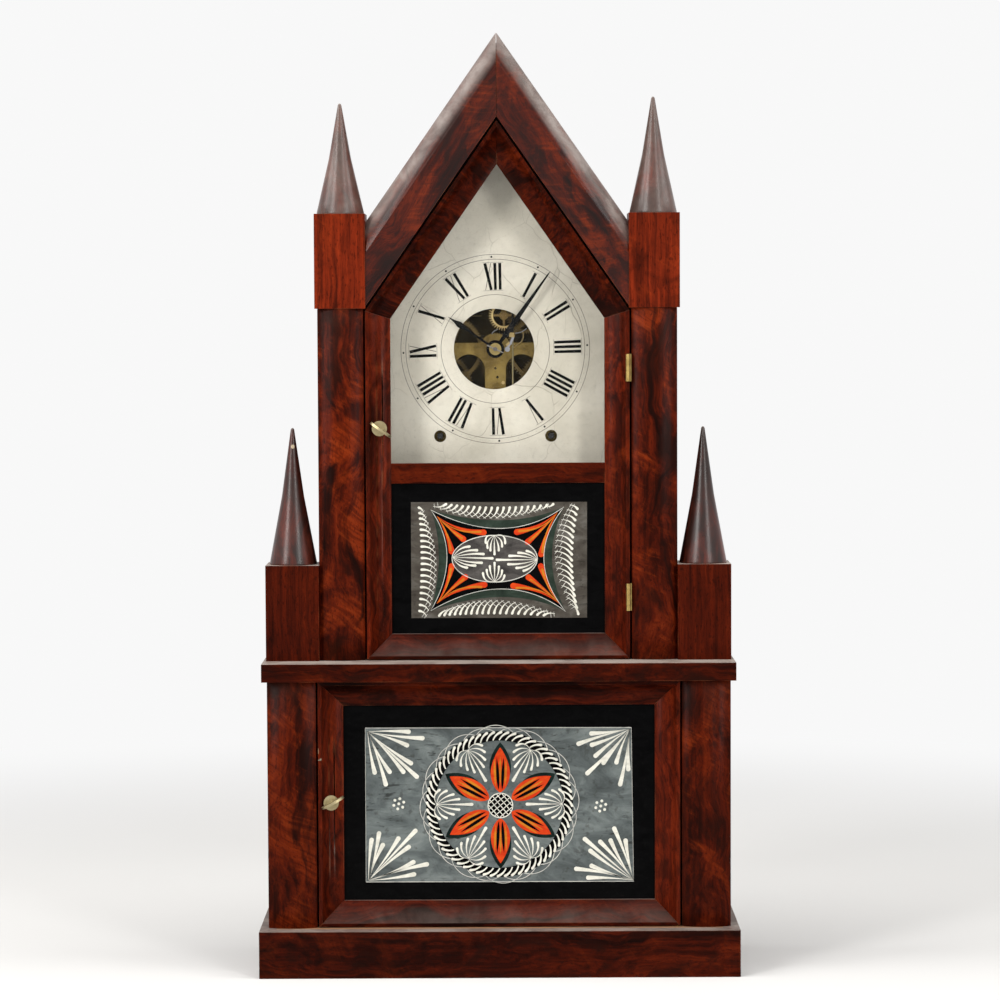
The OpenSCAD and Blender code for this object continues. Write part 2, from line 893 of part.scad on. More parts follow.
// Recess for that leaf, and room for the end of the pin
module case_pin_leaf_recess() {
    translate([0, 0, -1]) linear_extrude(pin_leaf_t + let_in_fit + 1) pin_leaf_outline(let_in_fit);
    translate([lower_hinge[0], lower_hinge[1], 0])
        cylinder(r = door_pin_r + 0.4, h = door_pin_reach + 0.5);
}

// What is cut from the lower door's frame for its hinges, with the clearance of its back edge
module lower_door_hinge_cuts() {
    for (z = [lower_door_low - 1, lower_door_high - pin_leaf_t - let_in_fit])
        translate([0, 0, z]) linear_extrude(pin_leaf_t + let_in_fit + 1) pin_leaf_outline(let_in_fit);
    translate([0, 0, lower_door_low - 1]) linear_extrude(lower_door_high - lower_door_low + 2) polygon([
        [lower_door_half - back_chamfer, lower_door_back], [lower_door_half, lower_door_back - back_chamfer],
        [lower_door_half + 1, lower_door_back - back_chamfer], [lower_door_half + 1, lower_door_back + 1],
        [lower_door_half - back_chamfer, lower_door_back + 1]
    ]);
}

module lower_door_hinge_leaves() {
    color(brass) {
        translate([0, 0, lower_door_low]) door_pin_leaf(lower_door_low - base_h);
        translate([0, 0, lower_door_high]) mirror([0, 0, 1]) door_pin_leaf(shelf_bottom - lower_door_high);
    }
}

// Case leaves: those of the barrel hinges, each with its pin, and those under and over the lower door
module case_hinge_leaves() {
    color(brass) {
        for (z = upper_hinge_levels) {
            hinge_leaf(z, 1);
            hinge_pin(z);
        }
        translate([0, 0, base_h]) mirror([0, 0, 1]) case_pin_leaf();
        translate([0, 0, shelf_bottom]) case_pin_leaf();
    }
}

// Turn latch: round collar and wing in front, spindle, blade behind the face frame
module latch(at, angle, door_front, frame_back) {
    blade_y = frame_back + latch_clear;
    rod_y(at[0], door_front - 1.6, at[1], latch_r, 1.5);
    rod_y(at[0], door_front - 3.4, at[1], latch_r * 0.55, 1.9);
    translate([at[0], 0, at[1]]) rotate([0, -angle, 0]) translate([latch_wing_step, 0, 0]) intersection() {
        plate_y(door_front - 3.4 - latch_wing_h, latch_wing_h + 0.5)
            translate([-latch_wing_l / 2, -latch_wing_t / 2]) square([latch_wing_l, latch_wing_t]);
        translate([0, door_front - 3.4, 0]) scale([1, 2 * latch_wing_h / latch_wing_l, 1])
            cylinder(r = latch_wing_l / 2, h = latch_wing_t + 1, center = true);
    }
    rod_y(at[0], door_front - 1.6, at[1], latch_spindle_r, blade_y + latch_blade_t - door_front + 1.6);
    plate_y(blade_y, latch_blade_t) translate(at) {
        translate([-latch_blade_w / 2, 0]) square([latch_blade_w, latch_blade_l]);
        circle(latch_blade_w / 2);
    }
}

module upper_latch() {
    color(brass) latch(upper_latch_at, upper_latch_angle, upper_door_front, upper_frame_back);
}

module lower_latch() {
    color(brass) latch(lower_latch_at, lower_latch_angle, lower_door_front, lower_frame_back);
}

// Dial and hands

module dial_plate() {
    edge = inset(upper_door_outline, rail_w / 2);
    low = mid_rail_top - rail_w / 2;
    color([0.9, 0.88, 0.8]) plate_y(dial_front, dial_t) difference() {
        polygon([[edge[0][0], low], [edge[1][0], low], edge[2], edge[3], edge[4]]);
        translate([mx + dial_hole_step, mz]) circle(d = dial_hole_d);
        for (side = [-1, 1])
            translate([mx + side * winding_x, mz - winding_drop]) circle(d = winding_hole_d);
    }
}

module dial_boards() {
    x = upper_door_half - rail_w / 2 - 7;
    color(wood_plain) both_sides()
        box([x, dial_back, mid_rail_top - 20], [upper_inner_half, dial_back + 8, upper_door_shoulder - 10]);
}

module hand_place(y, angle) {
    translate([mx, 0, mz]) plate_y(y, hand_t) rotate(-angle) children();
}

module minute_hand() {
    l = minute_hand_l;
    color(iron) hand_place(minute_hand_y, shown_minute * 6) difference() {
        union() {
            circle(4.4);
            polygon([[-0.9, 3], [-2.1, 18], [-0.5, l - 3], [0, l], [0.5, l - 3], [2.1, 18], [0.9, 3]]);
        }
        circle(arbor_r + 0.02);
    }
}

module hour_hand() {
    l = hour_hand_l;
    color(iron) hand_place(hour_hand_y, shown_hour_angle) difference() {
        union() {
            circle(6.6);
            polygon([
                [-0.9, 5], [-0.7, l * 0.6], [-2.4, l * 0.75], [-0.9, l * 0.86], [0, l],
                [0.9, l * 0.86], [2.4, l * 0.75], [0.7, l * 0.6], [0.9, 5]
            ]);
        }
        circle(pipe_r + 0.02);
    }
}

module hand_pin() {
    color(brass) difference() {
        rod_y(mx, minute_hand_y - 1.6, mz, 4.4, 1.5);
        rod_y(mx, minute_hand_y - 3, mz, arbor_r + 0.05, 4);
    }
    color(steel) translate([mx, minute_hand_y - taper_ahead, mz]) rotate([0, 90 + taper_angle, 0])
        cylinder(r1 = 0.55, r2 = 0.35, h = 13, center = true);
}

// Movement

// Closed outline of a wheel's teeth
function tooth_points(n, m) = [
    for (i = [0 : n - 1])
        for (p = [[-0.31, -1.2], [-0.2, 0], [-0.1, 0.85], [0.1, 0.85], [0.2, 0], [0.31, -1.2]])
            (n * m / 2 + p[1] * m) * [cos((i + p[0]) * 360 / n), sin((i + p[0]) * 360 / n)]
];

function arc_points(r, from, to, steps) = [
    for (i = [0 : steps]) let (a = from + (to - from) * i / steps) [r * cos(a), r * sin(a)]
];

// Openings between the arms of a wheel, cut inside rim radius r1 and outside hub radius r0
module arm_openings(r0, r1, arms, arm_w) {
    for (i = [0 : arms - 1]) {
        a = i * 360 / arms;
        in = asin(arm_w / 2 / r0);
        out = asin(arm_w / 2 / r1);
        polygon(concat(
            arc_points(r1, a + out, a + 360 / arms - out, 8),
            arc_points(r0, a + 360 / arms - in, a + in, 3)
        ));
    }
}

// A crossed-out wheel with a flat-sided bore
module wheel(n, m, turn, arms, bore_r) {
    root = n * m / 2 - 1.2 * m;
    hub = max(bore_r + 1.6, root * 0.2);
    rotate(turn) difference() {
        polygon(tooth_points(n, m));
        arm_openings(hub, root - 2.2, arms, 2.2);
        circle(r = bore_r / cos(15), $fn = 12);
    }
}

module pinion(n, m, turn, bore_r) {
    rotate(turn) difference() {
        polygon(tooth_points(n, m));
        circle(r = bore_r / cos(15), $fn = 12);
    }
}

// Children at a place given from the movement's centre
module at_arbor(p) {
    translate([mx + p[0], 0, mz + p[1]]) children();
}

// Arbor between the plates, with a pivot in each
module arbor(p, r = arbor_r) {
    at_arbor(p) {
        rod_y(0, train_y + 0.2, 0, r, plate_gap - 0.4);
        rod_y(0, front_plate_y, 0, pivot_r, plate_gap + 2 * plate_t);
    }
}

module plate_outline() {
    round_rect([-plate_half_w, plate_low], [plate_half_w, plate_high], plate_corner_r);
}

module pivot_holes() {
    for (side = [-1, 1]) {
        for (p = [second_at, third_at, fourth_at])
            translate([side * p[0], p[1]]) circle(pivot_r + pivot_fit);
        translate([side * winding_x, -winding_drop]) circle(winding_arbor_r + pivot_fit);
    }
    translate(escape_at) circle(pivot_r + pivot_fit);
    translate(minute_wheel_at) circle(pivot_r + pivot_fit);
    translate(hammer_at) circle(pivot_r + pivot_fit);
}

// Strap plate: open above the cross strap, two arched openings beside the leg
module front_plate() {
    window_x = leg_w / 2 + lower_window_r;
    window_z = strap_low - lower_window_r;
    color(brass) difference() {
        at_arbor([0, 0]) plate_y(front_plate_y, plate_t) difference() {
            union() {
                difference() {
                    plate_outline();
                    intersection() {
                        circle(window_r);
                        translate([-window_r, strap_top]) square([2 * window_r, window_r]);
                    }
                    for (side = [-1, 1]) {
                        translate([side * window_x, window_z]) circle(lower_window_r);
                        translate([side * window_x - lower_window_r, -44])
                            square([2 * lower_window_r, 44 + window_z]);
                    }
                }
                circle(hub_r);
                translate([escape_at[0] - 2, escape_at[1]]) square([4, plate_high - escape_at[1] - 10]);
                translate(escape_at) circle(3.4);
            }
            circle(pipe_r + pipe_fit);
            pivot_holes();
        }
    }
}

module back_plate() {
    color(brass) at_arbor([0, 0]) plate_y(back_plate_y, plate_t) difference() {
        plate_outline();
        for (side = [-1, 1]) translate([side * 27, 0]) {
            round_rect([-15, 34], [15, 50], 5);
            round_rect([-7, -60], [7, -44], 5);
        }
        circle(pivot_r + pivot_fit);
        pivot_holes();
    }
}

module plate_pillars() {
    color(brass) for (p = pillar_places) at_arbor(p) {
        rod_y(0, train_y, 0, 3, plate_gap);
        rod_y(0, front_plate_y - 3, 0, 2, 3);
    }
}

module movement_battens() {
    color(wood_plain) difference() {
        for (z = [plate_low + 3, plate_high - 16])
            box([-upper_inner_half, plate_back, mz + z], [upper_inner_half, back_board_front, mz + z + 14]);
        above_roof(roof_inner_apex);
    }
}

module center_arbor() {
    front = minute_hand_y - taper_ahead - 1.2;
    color(steel) at_arbor([0, 0]) {
        difference() {
            rod_y(0, front, 0, arbor_r, back_plate_y - 0.2 - front);
            translate([0, minute_hand_y - taper_ahead, 0]) rotate([0, 90 + taper_angle, 0])
                cylinder(r = 0.6, h = 4 * arbor_r, center = true);
        }
        rod_y(0, back_plate_y - 0.2, 0, pivot_r, plate_t + 0.2);
    }
    color(brass) at_arbor([0, 0]) {
        plate_y(train_y + third_layer - pinion_over, wheel_t + 2 * pinion_over)
            pinion(center_pinion, medium, 0, arbor_r + bore_gap);
        plate_y(train_y + minute_layer - pinion_over, wheel_t + 2 * pinion_over)
            pinion(cannon_teeth, minute_module, 0, arbor_r + bore_gap);
    }
}

module minute_wheel() {
    color(brass) {
        at_arbor(minute_wheel_at) {
            plate_y(train_y + minute_layer, wheel_t)
                wheel(minute_teeth, minute_module, minute_turn, 4, 1 + bore_gap);
            plate_y(train_y + hour_layer - 0.3, wheel_t + 0.8)
                pinion(minute_pinion, hour_module, minute_turn, 1 + bore_gap);
        }
        at_arbor(minute_wheel_at) {
            rod_y(0, train_y + 0.2, 0, 1, 5);
            rod_y(0, front_plate_y, 0, pivot_r, plate_t + 0.2);
        }
    }
}

module hour_wheel() {
    color(brass) at_arbor([0, 0]) {
        plate_y(train_y + hour_layer, wheel_t)
            wheel(hour_teeth, hour_module, hour_turn, 4, pipe_r + bore_gap);
        difference() {
            rod_y(0, hour_hand_y - 0.8, 0, pipe_r, train_y + hour_layer + wheel_t - hour_hand_y + 0.8);
            rod_y(0, hour_hand_y - 2, 0, arbor_r + pipe_fit, 40);
        }
    }
}

// Great wheel that turns freely on its winding arbor, with the click on its back
module great_wheel(side) {
    bore = winding_arbor_r + pivot_fit;
    turn = side > 0 ? great_turn : 180 - great_turn;
    color(brass) at_arbor([side * winding_x, -winding_drop]) {
        plate_y(train_y + great_layer, great_t) wheel(great_teeth, coarse, turn, 5, 7);
        difference() {
            rod_y(0, train_y + great_layer, 0, 6.9, great_t);
            rod_y(0, train_y + great_layer - 1, 0, bore, great_t + 2);
        }
    }
    color(steel) at_arbor([side * winding_x, -winding_drop]) {
        plate_y(train_y + great_layer + great_t + glue_line, 2) rotate(turn) {
            polygon([[25, -3], [25, 3], [18, 3.6], [12.4, 0.5], [17, -1.5]]);
            bar([28.5, -7], [28.5, 7], 3);
            bar([24, 0], [28.5, 0], 1.6);
        }
    }
}

// Winding arbor with its drum, ratchet and the turns of cord that are wound on
module winding_drum(side) {
    at_arbor([side * winding_x, -winding_drop]) {
        color(steel) {
            rod_y(0, front_plate_y, 0, winding_arbor_r, plate_gap + 2 * plate_t);
            translate([-winding_square / 2, dial_back + 0.7, -winding_square / 2])
                cube([winding_square, front_plate_y - dial_back - 0.7, winding_square]);
        }
        color(brass) difference() {
            union() {
                rod_y(0, drum_y, 0, drum_r, drum_l);
                rod_y(0, drum_y, 0, drum_r + 3, 1);
                rod_y(0, drum_y + drum_l - 1, 0, drum_r + 3, 1);
            }
            rod_y(0, drum_y - 1, 0, winding_arbor_r + bore_gap, drum_l + 2);
        }
        color(steel) plate_y(train_y + ratchet_layer, 1.6) difference() {
            polygon([
                for (i = [0 : 23])
                    for (p = [[0, 9.6], [0.92, 11.6]])
                        p[1] * [cos((i + side * p[0]) * 15), sin((i + side * p[0]) * 15)]
            ]);
            circle(r = (winding_arbor_r + bore_gap) / cos(15), $fn = 12);
        }
        color([0.75, 0.65, 0.4]) for (i = [0 : 2])
            translate([0, drum_y + 2.1 + i * 2.1, 0]) rotate([90, 0, 0])
                rotate_extrude() translate([drum_r + cord_r + 0.02, 0]) circle(cord_r);
    }
}

module time_great_wheel() {
    great_wheel(1);
}

module strike_great_wheel() {
    great_wheel(-1);
}

module time_drum() {
    winding_drum(1);
}

module strike_drum() {
    winding_drum(-1);
}

// One arbor of a train: wheel in its layer and pinion in the layer of the wheel before it
module train_arbor(side, p, n, m, turn, layer, leaves, leaf_m, leaf_layer, leaf_t) {
    place = [side * p[0], p[1]];
    w = side > 0 ? turn : 180 - turn;
    arbor(place);
    at_arbor(place) {
        plate_y(train_y + layer, wheel_t) wheel(n, m, w, 5, arbor_r + bore_gap);
        plate_y(train_y + leaf_layer - pinion_over, leaf_t + 2 * pinion_over)
            pinion(leaves, leaf_m, w, arbor_r + bore_gap);
    }
}

module time_second_wheel() {
    color(brass) train_arbor(1, second_at, second_teeth, medium, second_turn, second_layer,
        low_pinion, coarse, great_layer, great_t);
}

module strike_second_wheel() {
    color(brass) train_arbor(-1, second_at, second_teeth, medium, second_turn, second_layer,
        low_pinion, coarse, great_layer, great_t);
}

module time_third_wheel() {
    color(brass) train_arbor(1, third_at, third_teeth, medium, third_turn, third_layer,
        low_pinion, medium, second_layer, wheel_t);
}

// Pin wheel of the strike train: the pins on its back lift the hammer
module strike_pin_wheel() {
    color(brass) train_arbor(-1, third_at, third_teeth, medium, third_turn, pin_layer,
        low_pinion, medium, second_layer, wheel_t);
    color(steel) at_arbor([-third_x, 0]) for (i = [0 : 7])
        rotate([0, i * 45 + 12, 0]) rod_y(19.6, train_y + pin_layer + wheel_t, 0, 0.7, 2.8);
}

module time_fourth_wheel() {
    color(brass) train_arbor(1, fourth_at, fourth_teeth, fine, fourth_turn, fourth_layer,
        high_pinion, medium, third_layer, wheel_t);
}

module strike_fly() {
    place = [-fourth_at[0], fourth_at[1]];
    color(brass) {
        arbor(place);
        at_arbor(place) {
            plate_y(train_y + pin_layer - pinion_over, wheel_t + 2 * pinion_over)
                pinion(high_pinion, medium, 180 - fourth_turn, arbor_r + bore_gap);
            plate_y(train_y + fly_layer, 9) {
                bar([-12, 0], [-arbor_r - bore_gap, 0], 0.6);
                bar([arbor_r + bore_gap, 0], [12, 0], 0.6);
            }
        }
    }
}

module escape_wheel() {
    root = escape_r - 2.2;
    color(brass) at_arbor(escape_at) plate_y(escape_wheel_y, escape_wheel_t) difference() {
        polygon([
            for (i = [0 : escape_teeth - 1])
                for (p = [[0, root], [0.1, escape_r], [0.22, escape_r], [0.55, root]])
                    p[1] * [cos((i + p[0]) * 360 / escape_teeth), sin((i + p[0]) * 360 / escape_teeth)]
        ]);
        arm_openings(2.6, root - 1.2, 4, 1.6);
        circle(r = (pivot_r + bore_gap) / cos(15), $fn = 12);
    }
    color(steel) at_arbor(escape_at) {
        rod_y(0, escape_wheel_y - 1.2, 0, pivot_r, plate_back - escape_wheel_y + 1.2);
        plate_y(train_y + fourth_layer - pinion_over, wheel_t + 2 * pinion_over)
            pinion(high_pinion, fine, escape_turn, pivot_r + bore_gap);
    }
}

// Bent strip over the escape wheel, its pivot stud hole, and the crutch down to the rod
module verge() {
    back = angle_of(verge_at - escape_at);
    reach = escape_r + pallet_gap;
    entry = escape_at + reach * [cos(back + pallet_angle), sin(back + pallet_angle)];
    exit = escape_at + reach * [cos(back - pallet_angle), sin(back - pallet_angle)];
    shoulder = 0.55;
    entry_top = verge_at + (entry - verge_at) * shoulder + [-2.2, 2.4];
    exit_top = verge_at + (exit - verge_at) * shoulder + [2.6, 1.6];
    fork_z = verge_at[1] - crutch_drop;
    color(brass) at_arbor([0, 0]) {
        plate_y(escape_wheel_y - 0.6, 2.4) difference() {
            union() {
                translate(verge_at) circle(2.2);
                bar(verge_at, entry_top, pallet_t);
                bar(entry_top, entry, pallet_t);
                bar(verge_at, exit_top, pallet_t);
                bar(exit_top, exit, pallet_t);
            }
            translate(verge_at) circle(pivot_r + pivot_fit);
        }
        plate_y(crutch_y - 0.5, escape_wheel_y - crutch_y) translate(verge_at) difference() {
            circle(2.2);
            circle(pivot_r + pivot_fit);
        }
    }
    color(steel) at_arbor([verge_at[0], 0]) {
        translate([0, crutch_y, fork_z]) cylinder(r = 0.5, h = crutch_drop - pivot_r - pivot_fit - 0.2);
        for (s = [-1, 1])
            box([s * 1.3 - 0.3, rod_plane - pendulum_r - 0.4, fork_z - 0.5],
                [s * 1.3 + 0.3, crutch_y + 0.5, fork_z + 0.5]);
        box([-1.6, crutch_y - 0.5, fork_z - 0.5], [1.6, crutch_y + 0.5, fork_z + 0.5]);
    }
}

module suspension_stud() {
    color(brass) {
        at_arbor(verge_at) rod_y(0, crutch_y - 0.5, 0, pivot_r, front_plate_y - crutch_y + 0.5);
        at_arbor(suspension_at) rod_y(0, rod_plane - 1.5, 1.8, 1.5, front_plate_y - rod_plane + 1.5);
    }
}

module pendulum_rod() {
    drop = pendulum_l + bob_d / 2 + 8;
    color(steel) at_arbor(suspension_at) {
        translate([0, rod_plane, -drop]) cylinder(r = pendulum_r, h = drop - 4);
        box([-1.5, rod_plane - 0.15, -4], [1.5, rod_plane + 0.15, 0]);
    }
}

module pendulum_bob() {
    r = bob_d / 2;
    color(brass) at_arbor(suspension_at) difference() {
        translate([0, rod_plane + 3.5, -pendulum_l]) rotate([90, 0, 0])
            rotate_extrude() polygon([[0, 0.5], [r - 2, 1.2], [r, 3], [r, 4], [r - 2, 5.8], [0, 6.5]]);
        translate([0, rod_plane, -pendulum_l - r - 1]) cylinder(r = pendulum_r + 0.02, h = bob_d + 2);
    }
}

// Hammer: arbor between the plates, tail up to the pin wheel, rod and head down to the gong
module strike_hammer() {
    tail_y = train_y + pin_layer + wheel_t + 0.6;
    tail_tip = [-22.4, -19.4];
    gong_out = gong_start_r + (gong_turns - 1) * gong_pitch + gong_wire_r;
    head = gong_at + (gong_out + hammer_head_r + hammer_rest) * unit([-0.55, 0.835]);
    arbor(hammer_at, 1.3);
    color(steel) at_arbor([0, 0]) {
        plate_y(tail_y, 1.2) difference() {
            union() {
                bar(hammer_at, tail_tip, 1.4);
                translate(hammer_at) circle(2.6);
            }
            translate(hammer_at) circle(1.3 + bore_gap);
        }
        plate_y(gong_y - 0.6, 1.2) difference() {
            union() {
                bar(hammer_at, head, 1.4);
                translate(hammer_at) circle(2.6);
            }
            translate(hammer_at) circle(1.3 + bore_gap);
        }
    }
    color(brass) at_arbor(head) rod_y(0, gong_y - 5, 0, hammer_head_r, 10);
}

// Flat coil of wire in half turns; its inner end is on a stud in an iron foot on the back board
module gong() {
    color(iron) at_arbor(gong_at) {
        for (i = [0 : 2 * gong_turns - 1]) {
            r = gong_start_r + i * gong_pitch / 2;
            side = i % 2;
            translate([side * gong_pitch / 2, gong_y, 0]) rotate([90, 0, 0]) rotate([0, 0, side * 180])
                rotate_extrude(angle = 180) translate([r, 0]) circle(gong_wire_r);
        }
        rod_y(gong_start_r, gong_y - 2, 0, gong_stud_r, back_board_front - gong_y + 2);
        difference() {
            box([gong_start_r - 13, back_plate_y, -9], [gong_start_r + 13, back_board_front, 9]);
            rod_y(gong_start_r, gong_y, 0, gong_stud_r + bore_gap, back_board_front - gong_y + 1);
        }
    }
}

// Power

// Place of the pin that a cord is tied to
function spring_hook(side) = [
    side * sin(clip_angle) * (leaf_r - hook_rise),
    leaf_top + leaf_r - cos(clip_angle) * (leaf_r - hook_rise)
];

// Clip round the end of the longest leaf, with two cheeks and the cord's pin
module spring_clip(side) {
    h = leaf_w / 2;
    translate([0, leaf_y, leaf_top + leaf_r]) rotate([0, -side * clip_angle, 0]) translate([0, 0, -leaf_r]) {
        difference() {
            box([-clip_l / 2, -h - clip_wall, -leaf_t - clip_wall], [clip_l / 2, h + clip_wall, clip_wall]);
            box([-clip_l, -h - clip_fit, -leaf_t - clip_fit], [clip_l, h + clip_fit, clip_fit]);
        }
        for (y = [-4, 2.5])
            box([-3, y, clip_wall - 0.5], [3, y + 1.5, hook_rise + 2.5]);
        rod_y(0, -4.5, hook_rise, hook_pin_r, 9);
    }
}

// Stack of leaves, shorter towards the bottom, bolted to the deck on a saddle
module leaf_spring() {
    color(steel) difference() {
        for (i = [0 : leaf_count - 1]) {
            r = leaf_r + i * leaf_pitch;
            span = leaf_span * (1 - i * leaf_shortening);
            translate([0, leaf_y, leaf_top + leaf_r]) rotate([90, 0, 0]) rotate([0, 0, -90 - span])
                rotate_extrude(angle = 2 * span) translate([r, -leaf_w / 2]) square([leaf_t, leaf_w]);
        }
        translate([0, leaf_y, 0]) cylinder(r = leaf_bolt_r + bolt_fit, h = leaf_top + 20);
    }
    color(iron) {
        spring_clip(-1);
        spring_clip(1);
        difference() {
            box([-16, leaf_y - leaf_w / 2, base_h], [16, leaf_y + leaf_w / 2, leaf_seat + 1.5]);
            translate([0, leaf_y, leaf_top + leaf_r]) rotate([90, 0, 0])
                cylinder(r = leaf_r + leaf_count * leaf_pitch, h = leaf_w + 2, center = true);
            translate([0, leaf_y, 0]) cylinder(r = leaf_bolt_r + bolt_fit, h = leaf_top + 20);
        }
        translate([0, leaf_y, base_h - deck_t - nut_t - 1])
            cylinder(r = leaf_bolt_r, h = leaf_top - base_h + deck_t + 2 * nut_t + 3);
        for (z = [leaf_top + seat, base_h - deck_t - nut_t])
            translate([0, leaf_y, z]) cylinder(r = 6.5, h = nut_t, $fn = 6);
    }
}

// Each cord from the side of its drum to the pin on the end of the longest leaf
module drive_cords() {
    off = drum_r + cord_r + seat;
    color([0.75, 0.65, 0.4]) for (side = [-1, 1]) {
        top = [mx + side * winding_x, mz - winding_drop];
        hook = spring_hook(side);
        end = hook + (hook_pin_r + 0.1) * unit(top - hook);
        a = angle_of(end - top) + side * acos(off / norm(end - top));
        start = top + off * [cos(a), sin(a)];
        translate([end[0], cord_layer, end[1]])
            rotate([0, atan2(start[0] - end[0], start[1] - end[1]), 0])
                cylinder(r = cord_r, h = norm(start - end));
    }
}

base_front_board();
base_side_boards();
base_back_rail();
base_deck();
case_sides();
case_backs();
lower_face_frame();
lower_columns();
waist_shelf();
upper_face_frame();
upper_columns();
corner_blocks();
steeples();
gable_mouldings();
roof_boards();
upper_door_stiles();
upper_door_gable_rails();
upper_door_mid_rail();
upper_door_bottom_rail();
dial_glass();
upper_tablet();
upper_door_hinge_leaves();
upper_latch();
lower_door_stiles();
lower_door_rails();
lower_tablet();
lower_door_hinge_leaves();
lower_latch();
case_hinge_leaves();
dial_plate();
dial_boards();
minute_hand();
hour_hand();
hand_pin();
front_plate();
back_plate();
plate_pillars();
movement_battens();
center_arbor();
minute_wheel();
hour_wheel();
time_great_wheel();
time_drum();
time_second_wheel();
time_third_wheel();
time_fourth_wheel();
escape_wheel();
verge();
suspension_stud();
pendulum_rod();
pendulum_bob();
strike_great_wheel();
strike_drum();
strike_second_wheel();
strike_pin_wheel();
strike_fly();
strike_hammer();
gong();
leaf_spring();
drive_cords();
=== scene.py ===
"""Looks of the double steeple shelf clock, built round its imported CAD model. Metres, Z up, front at -Y."""

import math

import bmesh
import bpy
import numpy as np
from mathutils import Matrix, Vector
from mathutils.geometry import tessellate_polygon


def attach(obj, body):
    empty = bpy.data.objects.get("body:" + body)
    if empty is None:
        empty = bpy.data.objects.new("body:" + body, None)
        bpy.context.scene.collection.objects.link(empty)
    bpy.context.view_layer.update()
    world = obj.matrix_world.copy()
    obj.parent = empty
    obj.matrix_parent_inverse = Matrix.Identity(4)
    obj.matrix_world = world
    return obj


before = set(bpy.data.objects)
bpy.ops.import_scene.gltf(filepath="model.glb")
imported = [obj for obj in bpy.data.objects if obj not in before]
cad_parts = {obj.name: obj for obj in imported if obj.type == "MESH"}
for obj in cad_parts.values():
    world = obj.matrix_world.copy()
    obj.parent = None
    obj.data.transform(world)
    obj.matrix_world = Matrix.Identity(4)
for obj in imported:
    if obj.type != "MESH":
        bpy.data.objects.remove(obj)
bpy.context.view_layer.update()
MM = 0.001
X, Y, Z = (1.0, 0.0, 0.0), (0.0, 1.0, 0.0), (0.0, 0.0, 1.0)

# Places shared with the CAD model, in millimetres: pairs are (x, z), single numbers are depths
DIAL_CENTRE = (-1.5, 453.3)
DIAL_FRONT = 8.0
STRAP_FRONT = 18.0
UPPER_GLASS = -18.5
LOWER_GLASS = -32.5
LOWER_DOOR_FRONT = -43.0
LATCH_FRONT = -44.6
UPPER_PICTURE = (0.6, 299.8)
LOWER_PICTURE = (0.05, 122.1)
LATCH_CENTRE = (-121.8, 125.7)
CHIP_CENTRE = (-131.2, 160.0)
GABLE_SLOPE = math.radians(55.1)


def new_object(name, data):
    made = bpy.data.objects.new(name, data)
    bpy.context.scene.collection.objects.link(made)
    return made


def add_piece(name, work, material, body):
    """Turns a bmesh into a piece that rides on a body."""
    mesh = bpy.data.meshes.new(name)
    work.to_mesh(mesh)
    work.free()
    mesh.materials.append(material)
    piece = new_object(name, mesh)
    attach(piece, body)


# Materials


